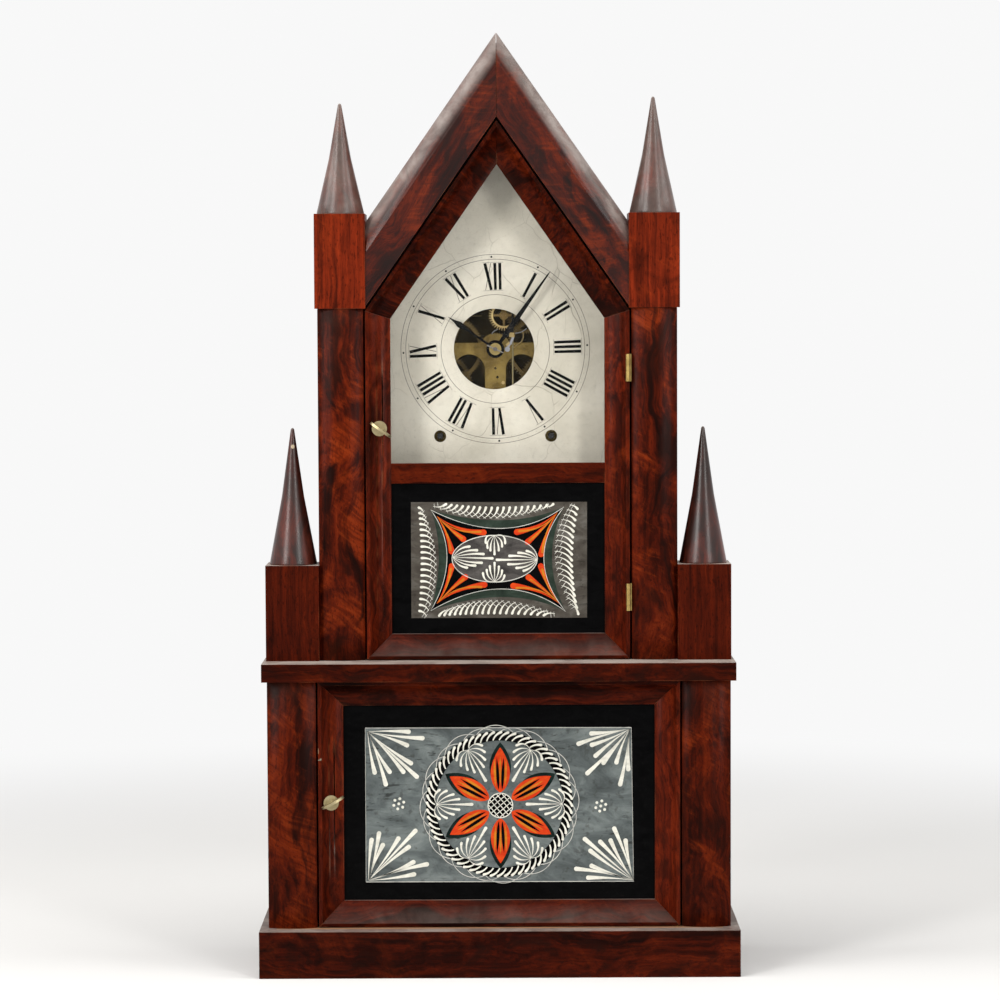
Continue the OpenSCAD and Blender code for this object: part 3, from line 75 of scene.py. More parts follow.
class Shader:
    """A node material: helpers that each add one node and return its output."""

    def __init__(self, name):
        self.material = bpy.data.materials.new(name)
        self.material.use_nodes = True
        self.tree = self.material.node_tree
        self.tree.nodes.clear()
        self.place = self.add("TexCoord").outputs["Object"]

    def add(self, kind, inputs=None, **settings):
        node = self.tree.nodes.new("ShaderNode" + kind)
        for key, value in settings.items():
            setattr(node, key, value)
        for key, value in (inputs or {}).items():
            self.put(node.inputs[key], value)
        return node

    def put(self, socket, value):
        if isinstance(value, bpy.types.NodeSocket):
            self.tree.links.new(value, socket)
        else:
            socket.default_value = (*value, 1.0) if socket.type == "RGBA" else value

    def noise(self, vector, scale, detail, distortion=0.0, roughness=0.5, output=0):
        """Output 0 is a number, output 1 a colour."""
        return self.add("TexNoise", {"Vector": vector, "Scale": scale, "Detail": detail,
                                     "Distortion": distortion, "Roughness": roughness}).outputs[output]

    def stretched(self, vector, stretch, *settings):
        """Noise with its own scale along each axis."""
        return self.noise(self.scaled(vector, stretch), 1.0, *settings)

    def cell_edges(self, vector, scale):
        """Distance from the edges of random cells."""
        cells = self.add("TexVoronoi", {"Vector": vector, "Scale": scale}, feature="DISTANCE_TO_EDGE")
        return cells.outputs[0]

    def vector(self, x, y, z):
        return self.add("CombineXYZ", {0: x, 1: y, 2: z}).outputs[0]

    def vectors(self, operation, a, b, output="Vector"):
        return self.add("VectorMath", {0: a, 1: b}, operation=operation).outputs[output]

    def scaled(self, vector, scale):
        return self.vectors("MULTIPLY", vector, scale)

    def moved(self, vector, step):
        return self.vectors("ADD", vector, step)

    def turned(self, vector, axes):
        return self.vector(*(self.dot(vector, axis) for axis in axes))

    def dot(self, vector, direction):
        return self.vectors("DOT_PRODUCT", vector, direction, "Value")

    def distance(self, vector, point):
        return self.vectors("DISTANCE", vector, point, "Value")

    def math(self, operation, a, b=0.0):
        return self.add("Math", {0: a, 1: b}, operation=operation).outputs[0]

    def times(self, a, b):
        return self.math("MULTIPLY", a, b)

    def plus(self, a, b):
        return self.math("ADD", a, b)

    def step(self, value, low, high, to_low=0.0, to_high=1.0):
        return self.add("MapRange", {"Value": value, "From Min": low, "From Max": high, "To Min": to_low,
                                     "To Max": to_high}, interpolation_type="SMOOTHSTEP").outputs[0]

    def ramp(self, value, stops):
        node = self.add("ValToRGB", {"Fac": value})
        elements = node.color_ramp.elements
        while len(elements) < len(stops):
            elements.new(0.5)
        for element, (position, colour) in zip(elements, stops):
            element.position = position
            element.color = (*colour, 1.0)
        return node.outputs[0]

    def mix(self, factor, a, b, blend="MIX"):
        return self.add("Mix", {0: factor, 6: a, 7: b}, data_type="RGBA", blend_type=blend).outputs[2]

    def level(self):
        """Height over the floor."""
        return self.dot(self.place, Z)

    def facing_up(self):
        return self.dot(self.add("NewGeometry").outputs["Normal"], Z)

    def edges(self, radius):
        """About 1 on sharp edges and 0 on flat faces."""
        rounded = self.add("Bevel", {"Radius": radius}, samples=4).outputs[0]
        same = self.dot(rounded, self.add("NewGeometry").outputs["True Normal"])
        return self.step(same, 0.99, 0.8)

    def bump(self, height, distance, strength):
        return self.add("Bump", {"Height": height, "Distance": distance, "Strength": strength}).outputs[0]

    def finish(self, **sockets):
        """Ends the material with a surface; an underscore stands for a space in a socket's name."""
        shader = self.add("BsdfPrincipled")
        for key, value in sockets.items():
            self.put(shader.inputs[key.replace("_", " ")], value)
        self.add("OutputMaterial", {0: shader.outputs[0]})
        return self.material


# Axes of the grain's coordinates. "slope" follows the gable, "across" crosses it
UP_SLOPE = (-math.cos(GABLE_SLOPE), 0.0, math.sin(GABLE_SLOPE))
OFF_SLOPE = (math.sin(GABLE_SLOPE), 0.0, math.cos(GABLE_SLOPE))
GRAIN_AXES = {"x": (X, Z, Y), "y": (Y, Z, X), "z": (Z, X, Y), "slope": (UP_SLOPE, OFF_SLOPE, Y),
              "across": (OFF_SLOPE, UP_SLOPE, Y)}


def grain_place(s, along):
    """Coordinates whose first axis runs along the grain. The gable's sides are mirrored, but differ."""
    place = s.place
    if along in ("slope", "across"):
        x, y, z = s.add("SeparateXYZ", {0: place}).outputs
        place = s.vector(s.math("ABSOLUTE", x), s.plus(y, s.step(x, -0.0001, 0.0001, 0.0, 0.37)), z)
    return s.turned(place, GRAIN_AXES[along])


# Figure of the veneer: the noise's scale along and across the grain, its detail, distortion and roughness
STREAKS = ((10.0, 330.0, 330.0), 5.0, 0.4, 0.62)
BANDS = ((4.0, 56.0, 56.0), 3.0, 0.8)
PATCHES = ((14.0, 24.0, 24.0), 5.0, 1.7, 0.58)
CURL = ((430.0, 36.0, 36.0), 3.0, 0.5)
PORES = ((120.0, 1900.0, 1900.0), 2.0)
FLECKS = ((260.0, 620.0, 620.0), 3.0)
CURL_AXES = ((0.84, 0.54, 0.0), (-0.54, 0.84, 0.0), Z)
MEAN_FIGURE = 0.54
# Heights between which the lower storey's tone turns into the upper one's, in metres
STOREY = (0.41, 0.44)
WORN_EDGE = (0.20, 0.060, 0.024)
PALE_REPAIR = (0.50, 0.40, 0.26)
DUST = (0.33, 0.285, 0.255)


def veneer(s, along, shift, flame, depth, streaky, warp, calm):
    """The wood's own colour, and the pores and streaks that its relief follows."""

    def tone(red, green, blue):
        return (red * depth, green * depth, blue * depth)

    grain = s.moved(grain_place(s, along), (shift, shift * 0.7, 0.3))
    wave = s.noise(grain, 11.0, 3.0)
    warped = s.moved(grain, s.scaled(s.vector(0.0, wave, wave), (0.0, warp, warp)))
    streaks, bands, pores, flecks = (s.stretched(warped, *kind) for kind in (STREAKS, BANDS, PORES, FLECKS))
    patches = s.stretched(grain, *PATCHES)
    curl = s.stretched(s.turned(warped, CURL_AXES), *CURL)
    body = s.plus(s.times(streaks, streaky), s.times(bands, 1.0 - streaky))
    if calm < 1.0:
        body = s.plus(s.times(body, calm), MEAN_FIGURE * (1.0 - calm))
    colour = s.ramp(body, [(0.36, tone(0.012, 0.0020, 0.0010)), (0.46, tone(0.050, 0.0060, 0.0022)),
                           (0.56, tone(0.135, 0.0140, 0.0038)), (0.66, tone(0.235, 0.028, 0.0064))])
    figured = s.times(s.step(patches, 0.44, 0.62), flame)
    # Each change: where its pattern sets in and is full, how strong it gets, and its colour
    for pattern, low, high, amount, shade in (
            (patches, 0.50, 0.68, flame, tone(0.33, 0.038, 0.0065)),
            (curl, 0.50, 0.72, s.times(figured, 0.55), tone(0.42, 0.060, 0.011)),
            (curl, 0.50, 0.34, s.times(figured, 0.7), tone(0.060, 0.007, 0.0022)),
            (patches, 0.50, 0.34, 0.80 * calm, (0.012, 0.0028, 0.0015)),
            (bands, 0.42, 0.32, 0.7 * calm, (0.007, 0.0017, 0.0010)),
            (flecks, 0.44, 0.30, 0.45 + 0.10 * calm, (0.010, 0.0022, 0.0012)),
            (pores, 0.60, 0.70, 0.5, (0.005, 0.0014, 0.0008))):
        colour = s.mix(s.times(s.step(pattern, low, high), amount), colour, shade)
    return colour, pores, streaks


def mahogany(name, along, shift, flame, depth, dust_and_sheen=0.35, haze=0.0, gloss=0.03, streaky=0.45, warp=0.055,
             lower=1.0, filler=None, film_slopes=(0.12, 0.95), film_tone=(0.165, 0.125, 0.108), calm=1.0):
    """Figured red-brown veneer under old shellac, worn at the edges, dusty on top and with a painted sheen of
    the light from above on upward faces.

    flame is the strength of the curl, depth the tone of the whole, and calm below 1 evens out the figure.
    lower is the tone of the pieces of the lower storey against those of the upper one,
    filler is the place of a small pale repair, and the pair of slopes tells from which upward slope on the
    grey film lies, a dusty coat with a painted sheen.
    """
    s = Shader(name)
    colour, pores, streaks = veneer(s, along, shift, flame, depth, streaky, warp, calm)
    if filler:
        colour = s.mix(s.step(s.distance(s.place, filler), 0.0019, 0.0012), colour, PALE_REPAIR)
    if lower < 1.0:
        shade = s.ramp(s.step(s.level(), *STOREY), [(0.0, (lower, lower, lower)), (1.0, (1.0, 1.0, 1.0))])
        colour = s.mix(1.0, colour, shade, "MULTIPLY")
    worn = s.times(s.edges(0.0010), s.step(s.noise(s.place, 60.0, 4.0), 0.42, 0.66))
    colour = s.mix(s.times(worn, 0.6), colour, WORN_EDGE)
    # Faces that look upward get a grey film: a dusty coat with a painted sheen of the light from above
    facing = s.facing_up()
    up = s.step(facing, *film_slopes)
    patchiness = s.step(s.noise(s.place, 34.0, 6.0, 0.4, 0.65), 0.34, 0.68, 0.35, 1.0)
    film = s.times(s.times(up, patchiness), dust_and_sheen)
    # haze lays the same grey film all over, weaker on the lower storey
    if haze:
        film = s.plus(film, s.times(patchiness, s.step(s.level(), *STOREY, haze * 0.12, haze)))
    colour = s.mix(s.math("MINIMUM", film, 1.0), colour, film_tone)
    # Flat tops also get a paler dusty layer
    flat = s.times(s.step(facing, 0.90, 0.99), s.step(patchiness, 0.35, 0.9, 0.55, 1.0))
    colour = s.mix(s.times(flat, dust_and_sheen), colour, DUST)
    rough = s.plus(s.plus(s.times(s.noise(s.place, 55.0, 5.0), 0.20), 0.20), s.times(up, 0.14))
    relief = s.bump(s.plus(s.times(pores, -0.4), s.times(streaks, 0.6)), 0.0002, 0.45)
    return s.finish(Base_Color=colour, Roughness=rough, Normal=relief, Specular_IOR_Level=gloss)


def toned(colour, share):
    return tuple(c * share for c in colour)


def bare_wood(name, along, colour=(0.21, 0.105, 0.05)):
    """Bare old softwood, brown with age, sawn and planed along its grain."""
    s = Shader(name)
    grain = grain_place(s, along)
    rings = s.stretched(grain, (2.5, 75.0, 75.0), 4.0, 0.5, 0.6)
    fine = s.stretched(grain, (30.0, 900.0, 900.0), 2.0)
    dirt = s.noise(s.place, 17.0, 5.0, 0.3, 0.6)
    tone = s.ramp(rings, [(0.3, toned(colour, 0.45)), (0.5, colour), (0.7, toned(colour, 1.45))])
    shaded = s.mix(s.times(s.step(fine, 0.5, 0.75), 0.4), tone, toned(colour, 0.4))
    soiled = s.mix(s.times(s.step(dirt, 0.45, 0.75), 0.6), shaded, (0.045, 0.028, 0.018))
    return s.finish(Base_Color=soiled, Roughness=s.plus(s.times(dirt, 0.2), 0.6),
                    Normal=s.bump(s.plus(rings, fine), 0.0004, 0.5))


# How much of a clean metal's colour is left under old lacquer, and of the tarnish's colour in a dark spot
AGED = 0.56
SPOT = 0.3


def metal(name, colour, tarnish, amount=0.5, rough=0.3, beyond=None):
    """Metal with tarnish in patches, fine scratches and dulled areas.

    beyond is a direction or an axis (x, z), a distance, and the two colours that take over past it.
    """
    s = Shader(name)
    colour, tarnish = toned(colour, AGED), toned(tarnish, AGED)
    dark = toned(tarnish, SPOT)
    if beyond:
        where, limit, far_colour, far_tarnish = beyond
        if len(where) == 2:
            reach = s.distance(s.scaled(s.place, (1.0, 0.0, 1.0)), (where[0], 0.0, where[1]))
        else:
            reach = s.dot(s.place, where)
        past = s.step(reach, limit, limit + 0.0002)
        colour = s.mix(past, colour, toned(far_colour, AGED))
        tarnish = s.mix(past, tarnish, toned(far_tarnish, AGED))
    patches = s.noise(s.place, 70.0, 6.0, 0.5, 0.65)
    spots = s.noise(s.place, 420.0, 3.0)
    scratches = s.stretched(s.place, (120.0, 120.0, 2600.0), 2.0)
    tone = s.mix(s.times(s.step(patches, 0.38, 0.68), amount), colour, tarnish)
    spotted = s.mix(s.times(s.step(spots, 0.60, 0.74), 0.6 * amount), tone, dark)
    return s.finish(Base_Color=spotted, Roughness=s.plus(s.times(patches, 0.35), rough - 0.1), Metallic=1.0,
                    Normal=s.bump(s.plus(scratches, spots), 0.00006, 0.35))


def black_enamel():
    """Blackened steel of the hands, a little rubbed."""
    s = Shader("hand_black")
    rub = s.noise(s.place, 160.0, 5.0, 0.4, 0.6)
    tone = s.ramp(rub, [(0.50, (0.003, 0.003, 0.0035)), (0.80, (0.022, 0.020, 0.019))])
    return s.finish(Base_Color=tone, Roughness=s.plus(s.times(rub, 0.3), 0.28), Specular_IOR_Level=0.04)


def dial_paint():
    """Old ivory paint on sheet metal, stained in soft patches, with long hair cracks."""
    s = Shader("dial_ivory")
    bend = s.noise(s.place, 26.0, 3.0, output=1)
    bent = s.moved(s.place, s.scaled(bend, (0.022, 0.0, 0.022)))
    long_cells = s.cell_edges(s.scaled(bent, (1.0, 0.0, 0.62)), 34.0)
    small_cells = s.cell_edges(s.scaled(bent, (1.0, 0.0, 0.8)), 120.0)
    long_cracks = s.times(s.step(long_cells, 0.0055, 0.0), s.step(s.noise(s.place, 21.0, 2.0), 0.44, 0.54))
    fine_cracks = s.times(s.step(small_cells, 0.014, 0.0), s.step(s.noise(s.place, 13.0, 2.0), 0.50, 0.60))
    cracks = s.math("MAXIMUM", long_cracks, s.times(fine_cracks, 0.35))
    stain = s.noise(s.place, 11.0, 5.0, 0.6, 0.6)
    specks = s.noise(s.place, 700.0, 3.0)
    base = s.ramp(stain, [(0.32, (0.56, 0.53, 0.44)), (0.52, (0.71, 0.675, 0.575)),
                          (0.72, (0.79, 0.765, 0.665))])
    speckled = s.mix(s.times(s.step(specks, 0.62, 0.75), 0.35), base, (0.42, 0.36, 0.26))
    cracked = s.mix(s.times(cracks, 0.55), speckled, (0.20, 0.17, 0.12))
    return s.finish(Base_Color=cracked, Roughness=s.plus(s.times(stain, 0.25), 0.4),
                    Normal=s.bump(s.times(cracks, -1.0), 0.0003, 0.6), Specular_IOR_Level=0.2)


def ink(name, colour=(0.004, 0.004, 0.0045), fade=0.2):
    """Painted black lines, thin where they have worn."""
    s = Shader(name)
    wear = s.noise(s.place, 230.0, 5.0, 0.3, 0.65)
    tone = s.mix(s.times(s.step(wear, 0.60, 0.72), fade), colour, (0.30, 0.27, 0.22))
    return s.finish(Base_Color=tone, Roughness=0.5, Specular_IOR_Level=0.02)


def glass_paint(name, stops, scale=60.0, wear=(0.007, 0.007, 0.007), amount=0.3, scuffs=0.0):
    """Paint seen through old glass: uneven brushed colour under a smooth gloss, scuffed along the width."""
    s = Shader(name)
    brush = s.noise(s.scaled(s.place, (1.0, 1.0, 2.2)), scale, 6.0, 0.8, 0.65)
    grit = s.noise(s.place, scale * 9, 3.0)
    rubbed = s.mix(s.times(s.step(grit, 0.56, 0.72), amount), s.ramp(brush, stops), wear)
    if scuffs:
        marks = s.step(s.stretched(s.place, (70.0, 1.0, 420.0), 4.0, 0.3, 0.6), 0.57, 0.66)
        where = s.step(s.noise(s.place, 19.0, 2.0), 0.46, 0.60)
        rubbed = s.mix(s.times(s.times(marks, where), scuffs), rubbed, (0.016, 0.016, 0.015))
    return s.finish(Base_Color=rubbed, Roughness=s.plus(s.times(brush, 0.06), 0.08), Specular_IOR_Level=0.02)


def clear_glass():
    """Clear old glass, a little wavy and dirty."""
    s = Shader("old_glass")
    waves = s.noise(s.place, 22.0, 2.0)
    dirt = s.step(s.noise(s.place, 260.0, 5.0), 0.50, 0.8, 0.018, 0.06)
    return s.finish(Base_Color=s.ramp(waves, [(0.3, (0.10, 0.11, 0.10)), (0.7, (0.16, 0.17, 0.16))]),
                    Roughness=0.03, Alpha=dirt, Normal=s.bump(waves, 0.0004, 0.2))


def cord_fibre():
    """Twisted natural fibre."""
    s = Shader("cord_fibre")
    hair = s.stretched(s.place, (900.0, 900.0, 200.0), 4.0)
    tone = s.ramp(hair, [(0.3, (0.16, 0.11, 0.05)), (0.7, (0.42, 0.33, 0.19))])
    return s.finish(Base_Color=tone, Roughness=0.85, Normal=s.bump(hair, 0.0003, 0.6))


# Axis of the escape wheel, and the distances and heights at which a node's second metal begins, in metres
ESCAPE_AXIS, ESCAPE_RIM = (0.0049, 0.4780), 0.0079
WINDING_SQUARE = -0.0178
COLLET = -0.0004
DARK_WIRE = 0.4618

BRASS = metal("brass_aged", (0.72, 0.50, 0.20), (0.30, 0.19, 0.075), 0.55, 0.34)
BRASS_OLIVE = metal("brass_olive", (0.44, 0.31, 0.095), (0.15, 0.095, 0.032), 0.7, 0.42)
BRASS_DARK = metal("brass_dark", (0.20, 0.135, 0.055), (0.05, 0.032, 0.016), 0.7, 0.5)
BRASS_BRIGHT = metal("brass_bright", (0.86, 0.64, 0.28), (0.46, 0.30, 0.12), 0.4, 0.26)
BRASS_PALE = metal("brass_pale", (0.66, 0.56, 0.33), (0.34, 0.27, 0.12), 0.5, 0.36)
BRASS_WHEEL = metal("brass_wheel", (0.32, 0.22, 0.085), (0.10, 0.065, 0.026), 0.6, 0.42)
# The back plate and the minute wheel are tarnished brass, darkened to near black with the painted shade deep
# inside the case
BRASS_BACK = metal("brass_back", (0.10, 0.07, 0.03), (0.03, 0.02, 0.011), 0.7, 0.5)
BRASS_HINGE = metal("brass_hinge", (0.60, 0.43, 0.15), (0.26, 0.16, 0.05), 0.6, 0.36)
ESCAPE = metal("brass_escape", (0.30, 0.20, 0.075), (0.10, 0.065, 0.026), 0.5, 0.4,
               (ESCAPE_AXIS, ESCAPE_RIM, (0.95, 0.72, 0.32), (0.60, 0.40, 0.15)))
# The winding squares' ends in front are dark steel, darkened further with the painted shade of the winding
# holes
WINDING = metal("winding_arbor", (0.32, 0.22, 0.085), (0.10, 0.065, 0.026), 0.6, 0.42,
                ((0.0, -1.0, 0.0), WINDING_SQUARE, (0.06, 0.06, 0.062), (0.022, 0.02, 0.018)))
STEEL = metal("steel_dull", (0.42, 0.41, 0.40), (0.11, 0.085, 0.07), 0.6, 0.36)
BRIGHT_STEEL = metal("steel_bright", (0.66, 0.67, 0.70), (0.30, 0.29, 0.29), 0.4, 0.3)
PIN_AND_COLLET = metal("steel_pin_brass_collet", (0.62, 0.60, 0.57), (0.20, 0.16, 0.12), 0.5, 0.32,
                       (Y, COLLET, (0.70, 0.55, 0.22), (0.34, 0.24, 0.09)))
PENDULUM_WIRE = metal("pendulum_wire", (0.40, 0.34, 0.18), (0.20, 0.15, 0.07), 0.5, 0.45,
                      (Z, DARK_WIRE, (0.035, 0.03, 0.025), (0.02, 0.015, 0.01)))
IRON = metal("iron_dark", (0.07, 0.075, 0.09), (0.05, 0.03, 0.022), 0.6, 0.42)
HAND_BLACK = black_enamel()
UPRIGHT = mahogany("mahogany_upright", "z", 0.0, 0.75, 0.55)
UPRIGHT_LOW = mahogany("mahogany_upright_low", "z", 6.4, 0.7, 0.42)
UPRIGHT_DARK = mahogany("mahogany_upright_dark", "z", 1.7, 0.25, 0.30)
STILES = mahogany("mahogany_stiles", "z", 2.9, 0.25, 0.69, streaky=0.65, calm=0.7)
LEVEL = mahogany("mahogany_level", "x", 0.4, 0.2, 0.36, dust_and_sheen=0.5)
SHELF = mahogany("mahogany_shelf", "x", 2.1, 0.3, 0.30, dust_and_sheen=0.75)
RAILS = mahogany("mahogany_rails", "x", 4.4, 0.25, 0.68, dust_and_sheen=0.34, lower=0.6, calm=0.8)
# The gable's rounded outer edge gets a broad, light grey film: a painted highlight of the light from above,
# over a dusty coat
SLOPED = mahogany("mahogany_sloped", "slope", 0.9, 0.7, 0.40, dust_and_sheen=1.1, gloss=0.20, film_slopes=(0.06, 0.40),
                  film_tone=(0.21, 0.175, 0.16))
SLOPED_RED = mahogany("mahogany_sloped_red", "across", 3.3, 0.30, 0.36, dust_and_sheen=0.15, streaky=0.6)
BLOCKS = mahogany("mahogany_blocks", "z", 5.1, 0.12, 1.25, dust_and_sheen=0.8, streaky=0.8, warp=0.012, lower=0.38,
                  calm=0.5)
TURNED = mahogany("mahogany_turned", "z", 7.3, 0.1, 0.50, dust_and_sheen=0.7, haze=0.50, gloss=0.36, lower=0.85,
                  filler=(-0.1493, -0.0170, 0.3832))
SIDES = mahogany("mahogany_sides", "z", 4.2, 0.35, 0.50)
BASE_SIDES = mahogany("mahogany_base_sides", "y", 0.4, 0.2, 0.36, dust_and_sheen=0.5)
PINE_UP = bare_wood("pine_upright", "z")
PINE_BACK = bare_wood("pine_back", "z", (0.13, 0.068, 0.035))
PINE_ACROSS = bare_wood("pine_across", "x", (0.24, 0.12, 0.055))
PINE_ROOF = bare_wood("pine_roof", "y", (0.055, 0.020, 0.010))
RAW_WOOD = bare_wood("raw_mahogany", "z", (0.52, 0.20, 0.07))
PALE_WOOD = bare_wood("pale_filler", "z", (0.55, 0.47, 0.33))
SHADOW = ink("shadow_in_hole", (0.004, 0.003, 0.003), 0.1)
TABLET_BLACK = glass_paint("tablet_black", [(0.3, (0.0009, 0.0009, 0.0010)), (0.7, (0.0028, 0.0028, 0.0030))],
                           60.0, (0.006, 0.006, 0.006))

# The CAD nodes of each material. Other nodes of the two trains are wheel brass, and the rest is aged brass
NODES = {
    LEVEL: "base_front_board lower_face_frame",
    BASE_SIDES: "base_side_boards",
    PINE_ACROSS: "base_back_rail base_deck movement_battens",
    SIDES: "case_sides",
    PINE_BACK: "case_backs",
    UPRIGHT_LOW: "lower_columns",
    UPRIGHT: "upper_columns",
    UPRIGHT_DARK: "upper_face_frame",
    SHELF: "waist_shelf",
    BLOCKS: "corner_blocks",
    TURNED: "steeples",
    SLOPED: "gable_mouldings",
    PINE_ROOF: "roof_boards",
    STILES: "upper_door_stiles lower_door_stiles",
    SLOPED_RED: "upper_door_gable_rails",
    RAILS: "upper_door_mid_rail upper_door_bottom_rail lower_door_rails",
    TABLET_BLACK: "upper_tablet lower_tablet",
    clear_glass(): "dial_glass",
    dial_paint(): "dial_plate",
    PINE_UP: "dial_boards",
    HAND_BLACK: "minute_hand hour_hand",
    IRON: "gong leaf_spring",
    PIN_AND_COLLET: "hand_pin",
    STEEL: "center_arbor strike_hammer",
    PENDULUM_WIRE: "pendulum_rod",
    BRASS_PALE: "upper_latch lower_latch",
    cord_fibre(): "drive_cords",
    BRASS_DARK: "plate_pillars",
    ESCAPE: "escape_wheel",
    BRASS_HINGE: "upper_door_hinge_leaves lower_door_hinge_leaves case_hinge_leaves",
    BRASS_OLIVE: "front_plate",
    BRASS_BACK: "back_plate minute_wheel",
    WINDING: "time_drum strike_drum",
    BRASS_WHEEL: "hour_wheel",
}
MATERIALS = {name: material for material, names in NODES.items() for name in names.split()}
# Veneered pieces: points this close are joined, then edges get this radius, both in metres,
# where their faces meet at more than this angle
WELD_REACH = 0.00001
EDGE_RADIUS = 0.0004
ROUNDED_FROM = math.radians(35)


def soften_edges(node):
    weld = node.modifiers.new("weld", "WELD")
    weld.merge_threshold = WELD_REACH
    soft = node.modifiers.new("soft_edges", "BEVEL")
    soft.width = EDGE_RADIUS
    soft.segments = 2
    soft.limit_method = "ANGLE"
    soft.angle_limit = ROUNDED_FROM
    soft.harden_normals = True


for name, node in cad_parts.items():
    material = MATERIALS.get(name, BRASS_WHEEL if name.startswith(("time", "strike")) else BRASS)
    node.data.materials.clear()
    node.data.materials.append(material)
    if material.name.startswith("mahogany"):
        soften_edges(node)


# Flat painted shapes

# Thickness of a painted layer in millimetres, and the points of a brush stroke's round head
LAYER = 0.03
HEAD_POINTS = 7


def around(n):
    """Angles of n even steps round a circle."""
    return np.linspace(0, 2 * math.pi, n, endpoint=False)


def oval(x, z, half_x, half_z, n=72):
    return [(x + half_x * math.cos(a), z + half_z * math.sin(a)) for a in around(n)]


class Flat:
    """Thin painted shapes in the plane of the front, drawn in millimetres round a centre."""

    def __init__(self, centre):
        self.centre = centre
        self.points = []
        self.faces = []

    def add(self, points, faces):
        start = len(self.points)
        self.points += [(p[0] + self.centre[0], p[1] + self.centre[1]) for p in points]
        self.faces += [[start + i for i in face] for face in faces]

    def outline(self, points):
        self.add(points, tessellate_polygon([[Vector((p[0], p[1], 0.0)) for p in points]]))

    def ribbon(self, middle, widths, closed=False):
        """A band along a line of points, with one width or with its own width at each."""
        middle = np.array(middle, float)
        n = len(middle)
        if closed:
            ahead = np.roll(middle, -1, 0) - np.roll(middle, 1, 0)
        else:
            ahead = np.gradient(middle, axis=0)
        ahead /= np.maximum(np.linalg.norm(ahead, axis=1), 1e-9)[:, None]
        side = np.stack([-ahead[:, 1], ahead[:, 0]], 1) * np.broadcast_to(widths, n)[:, None] / 2
        points = np.concatenate([middle + side, middle - side]).tolist()
        last = n if closed else n - 1
        self.add(points, [[i, (i + 1) % n, n + (i + 1) % n, n + i] for i in range(last)])

    def disc(self, x, z, r, n=20):
        self.add(oval(x, z, r, r, n), [list(range(n))])

    def ring(self, r, width, n=160):
        self.ribbon(oval(0.0, 0.0, r, r, n), width, True)

    def stroke(self, tail, head, width, bend=0.0, thin=0.25, n=10):
        """A brush stroke: a fine tail that swells into a round head."""
        tail, head = np.array(tail, float), np.array(head, float)
        along = head - tail
        side = np.array([-along[1], along[0]])
        cap = min(width * 0.5 / np.linalg.norm(along), 0.5)
        round_part = np.sin(np.linspace(0, math.pi / 2, HEAD_POINTS))
        t = np.concatenate([np.linspace(0, 1 - cap, n)[:-1], 1 - cap + cap * round_part])
        middle = tail + np.outer(t, along) + np.outer(4 * t * (1 - t), side * bend)
        swell = thin + (width - thin) * np.minimum(t / (1 - cap), 1) ** 1.6
        swell[n - 1:] *= np.sqrt(np.maximum(1 - round_part ** 2, 0.0004))
        self.ribbon(middle, swell)

    def leaf(self, base, tip, width, bulge=0.45, n=15):
        """A leaf that is widest at the share bulge of its length."""
        base, tip = np.array(base, float), np.array(tip, float)
        t = np.linspace(0, 1, n)
        shape = np.sin(math.pi * t ** (math.log(0.5) / math.log(bulge))) ** 0.85
        self.ribbon(base + np.outer(t, tip - base), np.maximum(shape * width, 0.05))

    def build(self, name, y, material, body, slot, thickness=LAYER):
        """Makes the closed mesh, its front at y and its back against what carries it."""
        work = bmesh.new()
        corners = [work.verts.new((x * MM, y * MM, z * MM)) for x, z in self.points]
        for face in self.faces:
            work.faces.new([corners[i] for i in face])
        work.normal_update()
        bmesh.ops.reverse_faces(work, faces=[f for f in work.faces if f.normal.y > 0])
        made = bmesh.ops.extrude_face_region(work, geom=work.faces[:])
        moved = [g for g in made["geom"] if isinstance(g, bmesh.types.BMVert)]
        bmesh.ops.translate(work, verts=moved, vec=(0, thickness * MM, 0))
        bmesh.ops.recalc_face_normals(work, faces=work.faces[:])
        add_piece(name, work, material, body)


# Dial

INK = ink("dial_ink")
HAIRLINE = ink("dial_hairline", (0.10, 0.09, 0.075), 0.6)
NUMERAL_LOW, NUMERAL_HIGH = 43.4, 63.0
# The whole ring of numerals and that of the dots are turned a little to the left
NUMERAL_TURN = 1.6
DOT_TURN = 2.2
NUMERALS = ["XII", "I", "II", "III", "IIII", "V", "VI", "VII", "VIII", "IX", "X", "XI"]
# Each letter: its width and its strokes as (foot, top, width), feet and tops counted from its middle
LETTERS = {
    "I": (3.5, [(0, 0, 2.15)]),
    "V": (6.2, [(0.2, -2.1, 2.1), (0.2, 2.3, 0.45)]),
    "X": (6.6, [(2.0, -2.0, 2.15), (-2.2, 2.2, 0.45)]),
}
# A numeral spreads from foot to top, and so do its strokes
SPREAD = 1.04
FOOT_SHARE = 0.93
SERIF_LINE = 0.22
# Radius of a line across the numerals' ends, and how far it runs past them
SERIFS = ((NUMERAL_LOW - 0.5, 0.6), (NUMERAL_HIGH + 0.5, 1.0))
DOT_RING, HOUR_DOT, MINUTE_DOT = 67.6, 0.72, 0.17
# Radius and width of the rings
DIAL_RINGS = ((69.4, 0.32), (65.8, 0.32), (39.9, 0.34))
# How far the numerals and the fine lines stand before the dial, and the thickness of the lines
NUMERALS_PROUD, LINES_PROUD, LINE_T = 0.04, 0.035, 0.028


def on_ring(u, r, angle):
    """Point u to the side of a spoke at distance r; the spoke's angle runs clockwise from the top."""
    a = math.radians(90 - angle)
    return (r * math.cos(a) + u * math.sin(a), r * math.sin(a) - u * math.cos(a))


